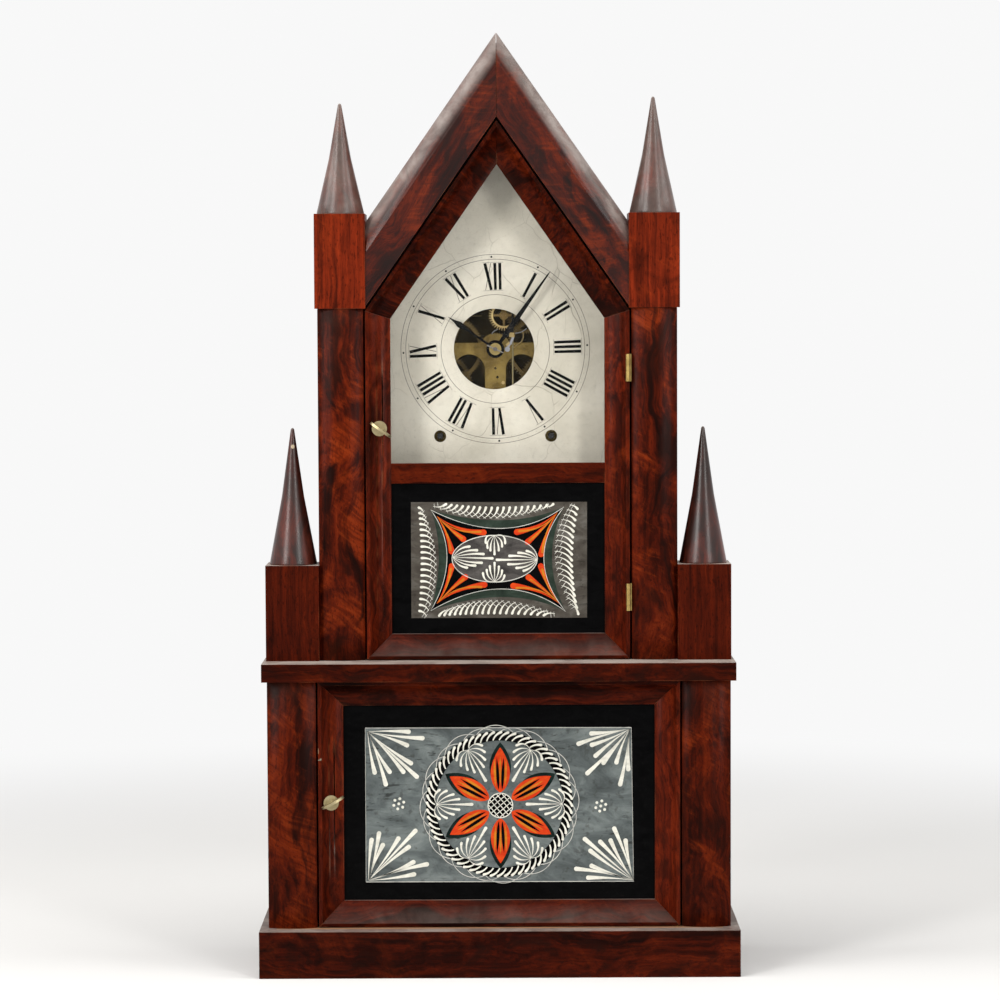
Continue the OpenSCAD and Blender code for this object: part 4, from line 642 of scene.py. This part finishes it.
def draw_dial():
    black, hair = Flat(DIAL_CENTRE), Flat(DIAL_CENTRE)
    for hour, text in enumerate(NUMERALS):
        angle = hour * 30 - NUMERAL_TURN
        total = sum(LETTERS[c][0] for c in text)
        at = -total / 2
        for c in text:
            width, strokes = LETTERS[c]
            middle = at + width / 2
            at += width
            for foot, top, w in strokes:
                ends = [on_ring(middle + foot, NUMERAL_LOW, angle),
                        on_ring((middle + top) * SPREAD, NUMERAL_HIGH, angle)]
                (black if w > 1 else hair).ribbon(ends, [w * FOOT_SHARE, w * SPREAD])
        for r, over in SERIFS:
            half = total / 2 + over
            hair.ribbon([on_ring(-half, r, angle), on_ring(half, r, angle)], SERIF_LINE)
        black.disc(*on_ring(0, DOT_RING, hour * 30 - DOT_TURN), HOUR_DOT)
    for minute in range(60):
        if minute % 5:
            black.disc(*on_ring(0, DOT_RING, minute * 6 - DOT_TURN), MINUTE_DOT, 8)
    for r, w in DIAL_RINGS:
        hair.ring(r, w)
    black.build("dial_numerals", DIAL_FRONT - NUMERALS_PROUD, INK, "case", "dial_paint")
    hair.build("dial_fine_lines", DIAL_FRONT - LINES_PROUD, HAIRLINE, "case", "dial_paint", LINE_T)


draw_dial()

# Painted tablets

WHITE = glass_paint("tablet_white", [(0.3, (0.58, 0.57, 0.50)), (0.6, (0.76, 0.75, 0.67))], 90.0,
                    (0.38, 0.37, 0.32), 0.3)
FINE_WHITE = glass_paint("tablet_fine_white", [(0.3, (0.34, 0.34, 0.32)), (0.6, (0.62, 0.61, 0.56))], 90.0,
                         (0.2, 0.2, 0.19))
ORANGE = glass_paint("tablet_orange", [(0.40, (0.50, 0.034, 0.009)), (0.64, (0.62, 0.066, 0.012))], 70.0,
                     (0.28, 0.03, 0.009), 0.25)
AMBER = glass_paint("tablet_amber", [(0.35, (0.44, 0.11, 0.012)), (0.65, (0.52, 0.20, 0.018))], 70.0,
                    (0.26, 0.06, 0.012), 0.25)
LEAF_BLACK = glass_paint("tablet_leaf_black", [(0.35, (0.004, 0.007, 0.006)), (0.7, (0.014, 0.026, 0.022))])
BLUE_GREY = glass_paint("tablet_blue_grey", [(0.30, (0.052, 0.060, 0.060)), (0.50, (0.105, 0.122, 0.122)),
                                             (0.68, (0.19, 0.215, 0.21))],
                        26.0, (0.04, 0.04, 0.037), 0.5, 0.75)
BROWN_GREY = glass_paint("tablet_brown_grey", [(0.30, (0.034, 0.029, 0.024)), (0.52, (0.072, 0.064, 0.054)),
                                               (0.70, (0.125, 0.118, 0.105))],
                         34.0, (0.02, 0.018, 0.015), 0.4, 0.4)
OVAL_GREY = glass_paint("tablet_oval_grey", [(0.32, (0.032, 0.030, 0.029)), (0.66, (0.095, 0.088, 0.083))])
STAR_GREEN = glass_paint("tablet_star_green", [(0.32, (0.014, 0.021, 0.016)), (0.66, (0.034, 0.050, 0.038))])


def through(a, b, c, t):
    """Point at t on the parabola through a, b halfway, and c."""
    a, b, c = np.array(a, float), np.array(b, float), np.array(c, float)
    return a * (2 * t - 1) * (t - 1) + b * 4 * t * (1 - t) + c * t * (2 * t - 1)


def spoke(angle):
    """Unit vectors along a direction and to its left, the angle in radians."""
    return np.array([math.cos(angle), math.sin(angle)]), np.array([-math.sin(angle), math.cos(angle)])


def star(tips, middles, grow=0.0, n=24):
    """Four-pointed star with hollow sides, pushed outwards by grow in the middle of each side."""
    points = []
    for i, tip in enumerate(tips):
        middle = np.array(middles[i], float)
        middle += grow * middle / np.linalg.norm(middle)
        points += [tuple(through(tip, middle, tips[(i + 1) % 4], t))
                   for t in np.linspace(0, 1, n, endpoint=False)]
    return points


def fan(paint, base, heads, width, bends):
    """Strokes that spread from one base."""
    for head, bend in zip(heads, bends):
        paint.stroke(base, head, width, bend)


# A row of feathers: how many, the width of each, and the turn of the ticks that cross it
FEATHERS = 19
FEATHER_WIDTH = 1.9
TICK_TURN = 1.5
# Where along a feather its two ticks are, and their half lengths
TICKS = ((0.66, 2.3), (0.92, 1.9))
# The curves of a row's heads and of its tails, each through three points, and the bend of a feather
FEATHER_ROWS = (
    (((-59.2, 38.7), (-57.3, 1.5), (-59.2, -37.0)), ((-55.0, 34.9), (-45.6, -3.6), (-53.1, -41.2)), -0.16),
    (((57.8, 36.3), (53.6, -1.3), (57.8, -40.7)), ((51.8, 40.0), (40.6, 6.2), (51.8, -32.3)), 0.14),
    (((-37.8, 41.6), (-0.7, 39.1), (40.2, 41.4)), ((-47.8, 39.4), (-6.7, 30.4), (34.6, 38.7)), -0.14),
    (((-44.3, -41.4), (-8.1, -39.8), (31.8, -41.2)), ((-36.4, -36.1), (-1.1, -29.4), (40.6, -39.6)), -0.14),
)


def feathers(strokes, ticks, heads, tails, bend):
    """A row of curved strokes, each crossed near its tail by two fine ticks."""
    for i in range(FEATHERS):
        t = i / (FEATHERS - 1)
        head, tail = through(*heads, t), through(*tails, t)
        strokes.stroke(tail, head, FEATHER_WIDTH, bend, 0.3)
        along = (tail - head) / np.linalg.norm(tail - head)
        out, side = spoke(TICK_TURN)
        across = along[0] * out + along[1] * side
        for share, half in TICKS:
            middle = head + (tail - head) * share
            ticks.ribbon([middle - across * half, middle, middle + across * half], [0.3, 0.42, 0.12])


def build_layers(prefix, face, body, layers):
    """Builds the painted layers of a tablet, the first one next to the glass."""
    for depth, (shape, name, paint) in enumerate(layers, 1):
        shape.build(prefix + name, face - LAYER * depth, paint, body, "painted_glass")


def draw_upper_tablet():
    """A star with hollow sides round an oval, with rows of feathers."""
    tips = [(-49.6, 36.8), (47.6, 38.7), (48.5, -37.9), (-50.1, -37.0)]
    middles = [(2.1, 23.1), (32.7, 0.6), (2.1, -21.2), (-38.0, 2.0)]
    eye = oval(-3.2, 0.95, 31.1, 17.1)
    ground, band, black, grey, fine, white, orange, amber = (Flat(UPPER_PICTURE) for _ in range(8))
    ground.outline([(-64.2, -42.3), (64.1, -42.5), (64.3, 42.2), (-64.1, 42.5)])
    band.outline(star(tips, middles, 6.0))
    black.outline(star(tips, middles))
    grey.outline(eye)
    fine.ribbon(star(tips, middles), 0.42, True)
    fine.ribbon(eye, 0.6, True)
    petals = [((-45.2, 32.2), [(-9.0, 20.1), (-24.3, 14.1), (-34.1, 4.3)], (-0.085, -0.02, 0.05)),
              ((42.9, 34.9), [(10.9, 20.1), (19.3, 11.7), (30.4, 2.0)], (0.085, 0.02, -0.05)),
              ((-45.7, -31.9), [(-8.6, -18.0), (-23.0, -11.0), (-34.1, -2.2)], (0.085, 0.02, -0.05)),
              ((44.8, -32.8), [(8.1, -18.9), (19.7, -11.5), (29.9, -2.6)], (-0.085, -0.02, 0.05))]
    for base, heads, bends in petals:
        fan(orange, base, heads, 4.4, bends)
        for head, bend in zip(heads, bends):
            inner = np.array(base) + (np.array(head) - np.array(base)) * 0.9
            amber.stroke(base, inner - (0, 0.5), 1.8, bend * 1.5)
    fan(white, (-33.6, 2.0), [(-20.6, 9.9), (-15.1, 7.1), (-10.4, 4.3), (-3.9, 1.2), (-11.8, -2.0),
                              (-16.5, -4.0), (-22.5, -5.6)],
        1.9, (0.16, 0.10, 0.05, 0.0, -0.05, -0.10, -0.15))
    fan(white, (27.6, 0.1), [(19.3, 6.6), (13.2, 5.2), (6.7, 2.9), (-2.5, 0.1), (5.8, -3.1), (11.8, -5.9),
                             (17.0, -8.2)], 1.9, (-0.16, -0.10, -0.05, 0.0, 0.05, 0.10, 0.12))
    fan(white, (-3.5, 17.8), [(-9.5, 11.7), (-8.1, 8.0), (-6.2, 6.2), (-3.3, 3.4), (-0.2, 6.2), (2.1, 9.0),
                              (4.4, 11.3)], 1.7, (-0.38, -0.22, -0.08, 0.0, 0.08, 0.22, 0.38))
    fan(white, (-3.3, -15.6), [(-11.8, -8.7), (-9.0, -6.4), (-6.7, -3.6), (-3.3, -1.3), (-0.2, -4.0),
                               (2.1, -6.8), (4.0, -10.5)],
        1.7, (0.30, 0.18, 0.08, 0.0, -0.08, -0.18, -0.30))
    for heads, tails, bend in FEATHER_ROWS:
        feathers(white, fine, heads, tails, bend)
    build_layers("upper_tablet_", UPPER_GLASS, "upper_door", (
        (ground, "ground", BROWN_GREY), (band, "band", STAR_GREEN), (black, "star", TABLET_BLACK),
        (grey, "oval", OVAL_GREY), (orange, "petals", ORANGE), (amber, "petal_lights", AMBER),
        (fine, "fine_lines", FINE_WHITE), (white, "feathers", WHITE)))


# Middles of the rope, the flower and the corner fans from the middle of the lower picture
ROPE_STEP = (0.1, 0.38)
BLOOM_STEP = (0.75, -0.5)
CORNERS_STEP = (1.34, -0.36)
ROPE_R, ROPE_WIDTH, STRANDS = 50.05, 6.9, 64
STRAND_IN, STRAND_OUT, STRAND_TWIST = 47.0, 53.2, math.radians(8)
LOOPS, LOOP_R = 24, 53.4
PETALS = 6
EYE_R = 9.0
LATTICE_LINES = (-6.4, -3.2, 0.0, 3.2, 6.4)
# Side strokes of a fan between two petals: the turn from its middle, length and bend
SIDE_STROKES = ((13, 17.5, 0.04), (30, 15.0, 0.10), (52, 13.0, 0.18), (76, 11.5, 0.26))
DOT_R, DOT_RING_R = 1.05, 3.8
CORNER_BENDS = (0.02, -0.02, 0.03, -0.02, 0.0, 0.02, -0.03, 0.02, -0.02, 0.0)


def draw_lower_tablet():
    """A flower of six petals in a ring of rope, with fans in the corners."""

    def at(step=(0.0, 0.0)):
        return Flat((LOWER_PICTURE[0] + step[0], LOWER_PICTURE[1] + step[1]))

    ground, edge, corners = at(), at(), at(CORNERS_STEP)
    rope, fine, white = at(ROPE_STEP), at(ROPE_STEP), at(ROPE_STEP)
    leaves, orange, amber, veins, eye, lattice = (at(BLOOM_STEP) for _ in range(6))
    window = [(-97.4, -56.3), (97.6, -56.6), (96.2, 56.2), (-97.3, 56.6)]
    ground.outline(window)
    edge.ribbon(window, 0.55, True)
    rope.ring(ROPE_R, ROPE_WIDTH)
    for a in around(STRANDS):
        white.stroke(spoke(a)[0] * STRAND_IN, spoke(a - STRAND_TWIST)[0] * STRAND_OUT, 1.9, 0.12, 0.9)
    for i in range(LOOPS):
        start = math.radians(15 * i + 4)
        wide, tall = (math.radians(29), 4.6) if i % 2 else (math.radians(25), 3.6)
        t = np.linspace(0, 1, 15)
        r = LOOP_R + tall * np.sin(math.pi * t) ** 0.8
        fine.ribbon(np.stack([r * np.cos(start + wide * t), r * np.sin(start + wide * t)], 1), 0.5)
    for i in range(PETALS):
        petal = math.radians(90 - 60 * i)
        out, side = spoke(petal)
        leaves.leaf(out * 8.7, out * 46.3, 15.8, 0.52)
        orange.leaf(out * 9.2, out * 42.5, 14.0, 0.43)
        for k in (-1, 1):
            amber.leaf(out * 14 + side * k * 3.4, out * 34 + side * k * 4.4, 1.7, 0.5)
            veins.leaf(out * 11.5 + side * k * 1.3, out * 35 + side * k * 2.5, 2.3, 0.45)
        amber.leaf(out * 13, out * 36, 1.5, 0.6)
        out, side = spoke(petal - math.radians(30))
        base = out * 45.6
        white.stroke(base, out * 19.0, 2.3)
        for k in (-1, 1):
            for turn, length, bend in SIDE_STROKES:
                tilt = math.radians(turn)
                head = base - out * length * math.cos(tilt) + side * k * length * math.sin(tilt)
                white.stroke(base, head, 1.9, -k * bend)
    for x, z in ((-74.6, 1.4), (72.5, -0.9)):
        corners.disc(x, z, DOT_R)
        for i in range(6):
            out = spoke(math.radians(60 * i + 18))[0]
            corners.disc(x + DOT_RING_R * out[0], z + DOT_RING_R * out[1], DOT_R)
    for base, heads in (
            ((-97.0, 54.2), [(-65.5, 54.0), (-55.5, 49.3), (-66.9, 43.5), (-64.2, 30.2), (-60.2, 20.1),
                             (-70.2, 23.5), (-80.2, 23.5), (-83.6, 14.1), (-91.6, 22.8)]),
            ((93.7, 55.6), [(64.2, 52.2), (54.9, 44.2), (64.6, 43.5), (67.6, 34.8), (73.6, 29.5),
                            (61.6, 22.1), (83.6, 29.5), (86.3, 13.4), (92.7, 24.4)]),
            ((-97.0, -54.8), [(-94.3, -23.4), (-88.9, -18.7), (-85.6, -27.4), (-74.2, -22.7), (-61.5, -17.3),
                              (-66.2, -29.4), (-62.8, -40.7), (-52.8, -42.8), (-62.2, -50.1)]),
            ((96.3, -55.5), [(90.3, -24.7), (81.6, -16.0), (79.0, -24.7), (70.9, -26.0), (59.6, -24.0),
                             (63.6, -32.7), (52.9, -46.8), (64.2, -44.1), (61.6, -53.5)])):
        fan(corners, base, heads, 3.3, CORNER_BENDS)
    eye.disc(0, 0, 9.1, 48)
    lattice.ring(EYE_R, 0.7, 64)
    for k in LATTICE_LINES:
        reach = math.sqrt(EYE_R ** 2 - k ** 2)
        for turn in (40, 130):
            across, along = spoke(math.radians(turn))
            lattice.ribbon([k * across + u * along for u in (-reach, reach)], 0.55)
    build_layers("lower_tablet_", LOWER_GLASS, "lower_door", (
        (ground, "ground", BLUE_GREY), (rope, "rope", TABLET_BLACK), (leaves, "leaves", LEAF_BLACK),
        (orange, "petals", ORANGE), (amber, "petal_lights", AMBER), (veins, "veins", TABLET_BLACK),
        (eye, "eye", TABLET_BLACK), (edge, "edge_line", FINE_WHITE), (fine, "loops", FINE_WHITE),
        (white, "strokes", WHITE), (corners, "corner_fans", WHITE), (lattice, "lattice", WHITE)))


draw_upper_tablet()
draw_lower_tablet()

# Small solid things


class Solids:
    """Small closed solids gathered into one piece, in millimetres from a centre of the front plane."""

    def __init__(self, centre):
        self.centre = centre
        self.work = bmesh.new()

    def corner(self, x, y, z):
        return self.work.verts.new(((x + self.centre[0]) * MM, y * MM, (z + self.centre[1]) * MM))

    def plate(self, outline, y0, y1):
        front = [self.corner(x, y0, z) for x, z in outline]
        back = [self.corner(x, y1, z) for x, z in outline]
        n = len(outline)
        self.work.faces.new(front)
        self.work.faces.new(back[::-1])
        for i in range(n):
            self.work.faces.new([front[i], back[i], back[(i + 1) % n], front[(i + 1) % n]])

    def disc(self, x, z, r, y0, y1, n=20):
        self.plate(oval(x, z, r, r, n), y0, y1)

    def bar(self, a, b, width, y0, y1):
        a, b = np.array(a, float), np.array(b, float)
        along = (b - a) / np.linalg.norm(b - a)
        side = np.array([-along[1], along[0]]) * width / 2
        self.plate([a + side, a - side, b - side, b + side], y0, y1)

    def wire(self, points, r, sides=8):
        """A round wire through points (x, y, z)."""
        points = np.array(points, float)
        ahead = np.gradient(points, axis=0)
        ahead /= np.linalg.norm(ahead, axis=1)[:, None]
        rings = []
        for point, way in zip(points, ahead):
            across = np.cross(way, (0.3, 0.2, 0.93))
            across /= np.linalg.norm(across)
            other = np.cross(way, across)
            rings.append([self.corner(*(point + r * (across * math.cos(a) + other * math.sin(a))))
                          for a in around(sides)])
        self.work.faces.new(rings[0])
        self.work.faces.new(rings[-1][::-1])
        for one, two in zip(rings, rings[1:]):
            for i in range(sides):
                j = (i + 1) % sides
                self.work.faces.new([one[i], two[i], two[j], one[j]])

    def build(self, name, material, body, slot):
        bmesh.ops.recalc_face_normals(self.work, faces=self.work.faces[:])
        add_piece(name, self.work, material, body)


def movement_fittings():
    """The crutch's end in front of the pendulum wire, the levers' wires, a rivet and the painted shadow in a
    hole in the strap.
    """
    brass = Solids(DIAL_CENTRE)
    brass.plate([(10.2, 8.7), (13.8, 8.5), (13.9, 11.9), (10.4, 12.1)], 8.9, 9.6)
    brass.bar((8.1, 2.6), (10.4, 4.6), 1.7, 9.0, 9.6)
    brass.build("crutch_plate", BRASS_BRIGHT, "verge_arm", "brass")
    steel = Solids(DIAL_CENTRE)
    steel.bar((13.3, 8.9), (11.0, 3.4), 1.7, 9.05, 9.55)
    steel.bar((11.3, 4.6), (9.0, 0.6), 1.5, 9.1, 9.7)
    steel.disc(8.9, -0.2, 1.9, 9.0, 9.9)
    steel.build("crutch_link", BRIGHT_STEEL, "verge_arm", "steel")
    levers = Solids(DIAL_CENTRE)
    levers.wire([(20.2, 16.7, 12.7), (20.7, 16.7, 10.4), (20.5, 16.7, 8.0), (19.3, 16.7, 5.2),
                 (16.8, 16.8, 3.4), (14.8, 17.0, 2.0), (13.6, 17.6, 0.9), (13.3, 18.1, 0.5)], 0.45)
    levers.disc(5.7, -25.0, 1.25, STRAP_FRONT - 0.5, STRAP_FRONT)
    levers.build("lever_wire", BRASS_BRIGHT, "case", "brass")
    wires = Solids(DIAL_CENTRE)
    wires.wire([(14.6, 16.4, 11.5), (16.6, 16.3, 11.7), (18.6, 16.2, 12.1), (20.4, 16.1, 13.0),
                (23.2, 16.0, 14.9)], 0.36)
    wires.wire([(-2.4, 18.1, 10.9), (-2.3, 17.2, 11.6), (-1.9, 16.8, 12.2), (-0.4, 16.7, 13.4),
                (0.6, 16.7, 13.7), (2.0, 16.7, 14.6)], 0.34)
    wires.build("lever_steel", BRIGHT_STEEL, "case", "steel")
    hole = Solids(DIAL_CENTRE)
    hole.disc(1.5, -20.9, 0.95, STRAP_FRONT - 0.04, STRAP_FRONT)
    hole.build("strap_hole", SHADOW, "case", "brass")


def door_marks():
    """The painted shadow in the hole of the lower latch, and the chip at the edge of the lower door."""
    hole = Solids(LATCH_CENTRE)
    hole.disc(-0.4, 1.6, 0.6, LATCH_FRONT - 0.04, LATCH_FRONT, 12)
    hole.build("latch_hole", SHADOW, "lower_turn_latch", "brass")
    for name, wood, outline in (
            ("chip_raw_wood", RAW_WOOD, [(0.0, 1.0), (0.55, 1.4), (0.8, 3.2), (0.5, 5.2), (0.0, 5.5)]),
            ("chip_pale_wood", PALE_WOOD, [(0.0, -3.9), (2.3, -3.4), (2.6, -2.2), (1.6, -2.0), (0.9, -2.9),
                                           (0.0, -2.9)])):
        chip = Solids(CHIP_CENTRE)
        chip.plate(outline, LOWER_DOOR_FRONT - 0.03, LOWER_DOOR_FRONT)
        chip.build(name, wood, "lower_door", "mahogany_veneer")


movement_fittings()
door_marks()

# Stage

# The photograph's camera, fitted on the object's corners: its focal length and picture width in pixels,
# its place in metres, and its tilt down and roll in degrees
FOCAL_PIXELS, PICTURE_PIXELS = 3222.0, 1000.0
SENSOR_WIDTH = 36.0
CAMERA_PLACE = (0.00147, -2.363, 0.4788)
CAMERA_TILT, CAMERA_ROLL = 3.3, -0.249
BACKGROUND = 0.94
WORLD_LIGHT = 0.10
LAMP_COLOUR = (1.0, 0.98, 0.95)
# Name, place, height of the point that it shines at, size and power of each lamp
LAMPS = (
    ("key", (-1.7, -1.95, 1.25), 0.38, (0.6, 1.7), 44),
    ("fill", (1.45, -2.2, 1.15), 0.36, (0.5, 1.7), 28),
    ("top", (0.0, -0.45, 2.3), 0.3, (1.8, 0.8), 28),
    ("left", (-1.6, -0.35, 1.7), 0.5, (1.2, 1.2), 31),
    ("right", (1.6, -0.35, 1.7), 0.5, (1.2, 1.2), 25),
)
FLOOR_HALF = 6.0
# Distances from the object between which the floor runs into the background
FLOOR_FADE = (0.45, 1.3)


def place_camera():
    data = bpy.data.cameras.new("photo_view")
    data.sensor_width = SENSOR_WIDTH
    data.lens = FOCAL_PIXELS / PICTURE_PIXELS * SENSOR_WIDTH
    camera = new_object("photo_view", data)
    camera.location = CAMERA_PLACE
    camera.rotation_euler = (math.radians(90 - CAMERA_TILT), 0.0, 0.0)
    camera.rotation_euler.rotate_axis("Z", math.radians(CAMERA_ROLL))
    bpy.context.scene.camera = camera


def lamp(name, place, target_height, size, power):
    data = bpy.data.lights.new(name, "AREA")
    data.shape = "RECTANGLE"
    data.size, data.size_y = size
    data.energy = power
    data.color = LAMP_COLOUR
    light = new_object(name, data)
    light.location = place
    aim = Vector((0, 0, target_height)) - Vector(place)
    light.rotation_euler = aim.to_track_quat("-Z", "Y").to_euler()


def seen_rays(tree):
    """1 for rays of the camera and for what glossy and clear surfaces show, 0 for other light."""
    path = tree.nodes.new("ShaderNodeLightPath")
    seen = path.outputs["Is Camera Ray"]
    for other in ("Is Glossy Ray", "Is Transmission Ray"):
        larger = tree.nodes.new("ShaderNodeMath")
        larger.operation = "MAXIMUM"
        tree.links.new(seen, larger.inputs[0])
        tree.links.new(path.outputs[other], larger.inputs[1])
        seen = larger.outputs[0]
    return seen


def studio_floor():
    """A plain pale floor on every side, that runs into the background away from the object."""
    mesh = bpy.data.meshes.new("studio_floor")
    corners = [(x * FLOOR_HALF, y * FLOOR_HALF, 0) for x, y in ((-1, -1), (1, -1), (1, 1), (-1, 1))]
    mesh.from_pydata(corners, [], [(0, 1, 2, 3)])
    s = Shader("studio_floor")
    paint = s.add("BsdfPrincipled", {"Roughness": 0.85, "Base Color": s.ramp(
        s.noise(s.place, 3.0, 3.0), [(0.3, (0.65, 0.65, 0.65)), (0.7, (0.67, 0.67, 0.67))])})
    glow = s.add("Emission", {"Color": (1.0, 1.0, 1.0), "Strength": BACKGROUND})
    far = s.times(s.step(s.distance(s.place, (0.0, 0.0, 0.0)), *FLOOR_FADE), seen_rays(s.tree))
    both = s.add("MixShader", {0: far, 1: paint.outputs[0], 2: glow.outputs[0]})
    s.add("OutputMaterial", {0: both.outputs[0]})
    mesh.materials.append(s.material)
    piece = new_object("studio_floor", mesh)


def world_light():
    """A faint even light, and the background's own colour where it is seen."""
    world = bpy.data.worlds.new("studio")
    world.use_nodes = True
    tree = world.node_tree
    strength = tree.nodes.new("ShaderNodeMapRange")
    strength.inputs["To Min"].default_value = WORLD_LIGHT
    strength.inputs["To Max"].default_value = BACKGROUND
    tree.links.new(seen_rays(tree), strength.inputs["Value"])
    tree.nodes["Background"].inputs[0].default_value = (1.0, 1.0, 1.0, 1.0)
    tree.links.new(strength.outputs[0], tree.nodes["Background"].inputs[1])
    bpy.context.scene.world = world


place_camera()
world_light()
studio_floor()
for settings in LAMPS:
    lamp(*settings)
bpy.context.scene.view_settings.view_transform = "Standard"
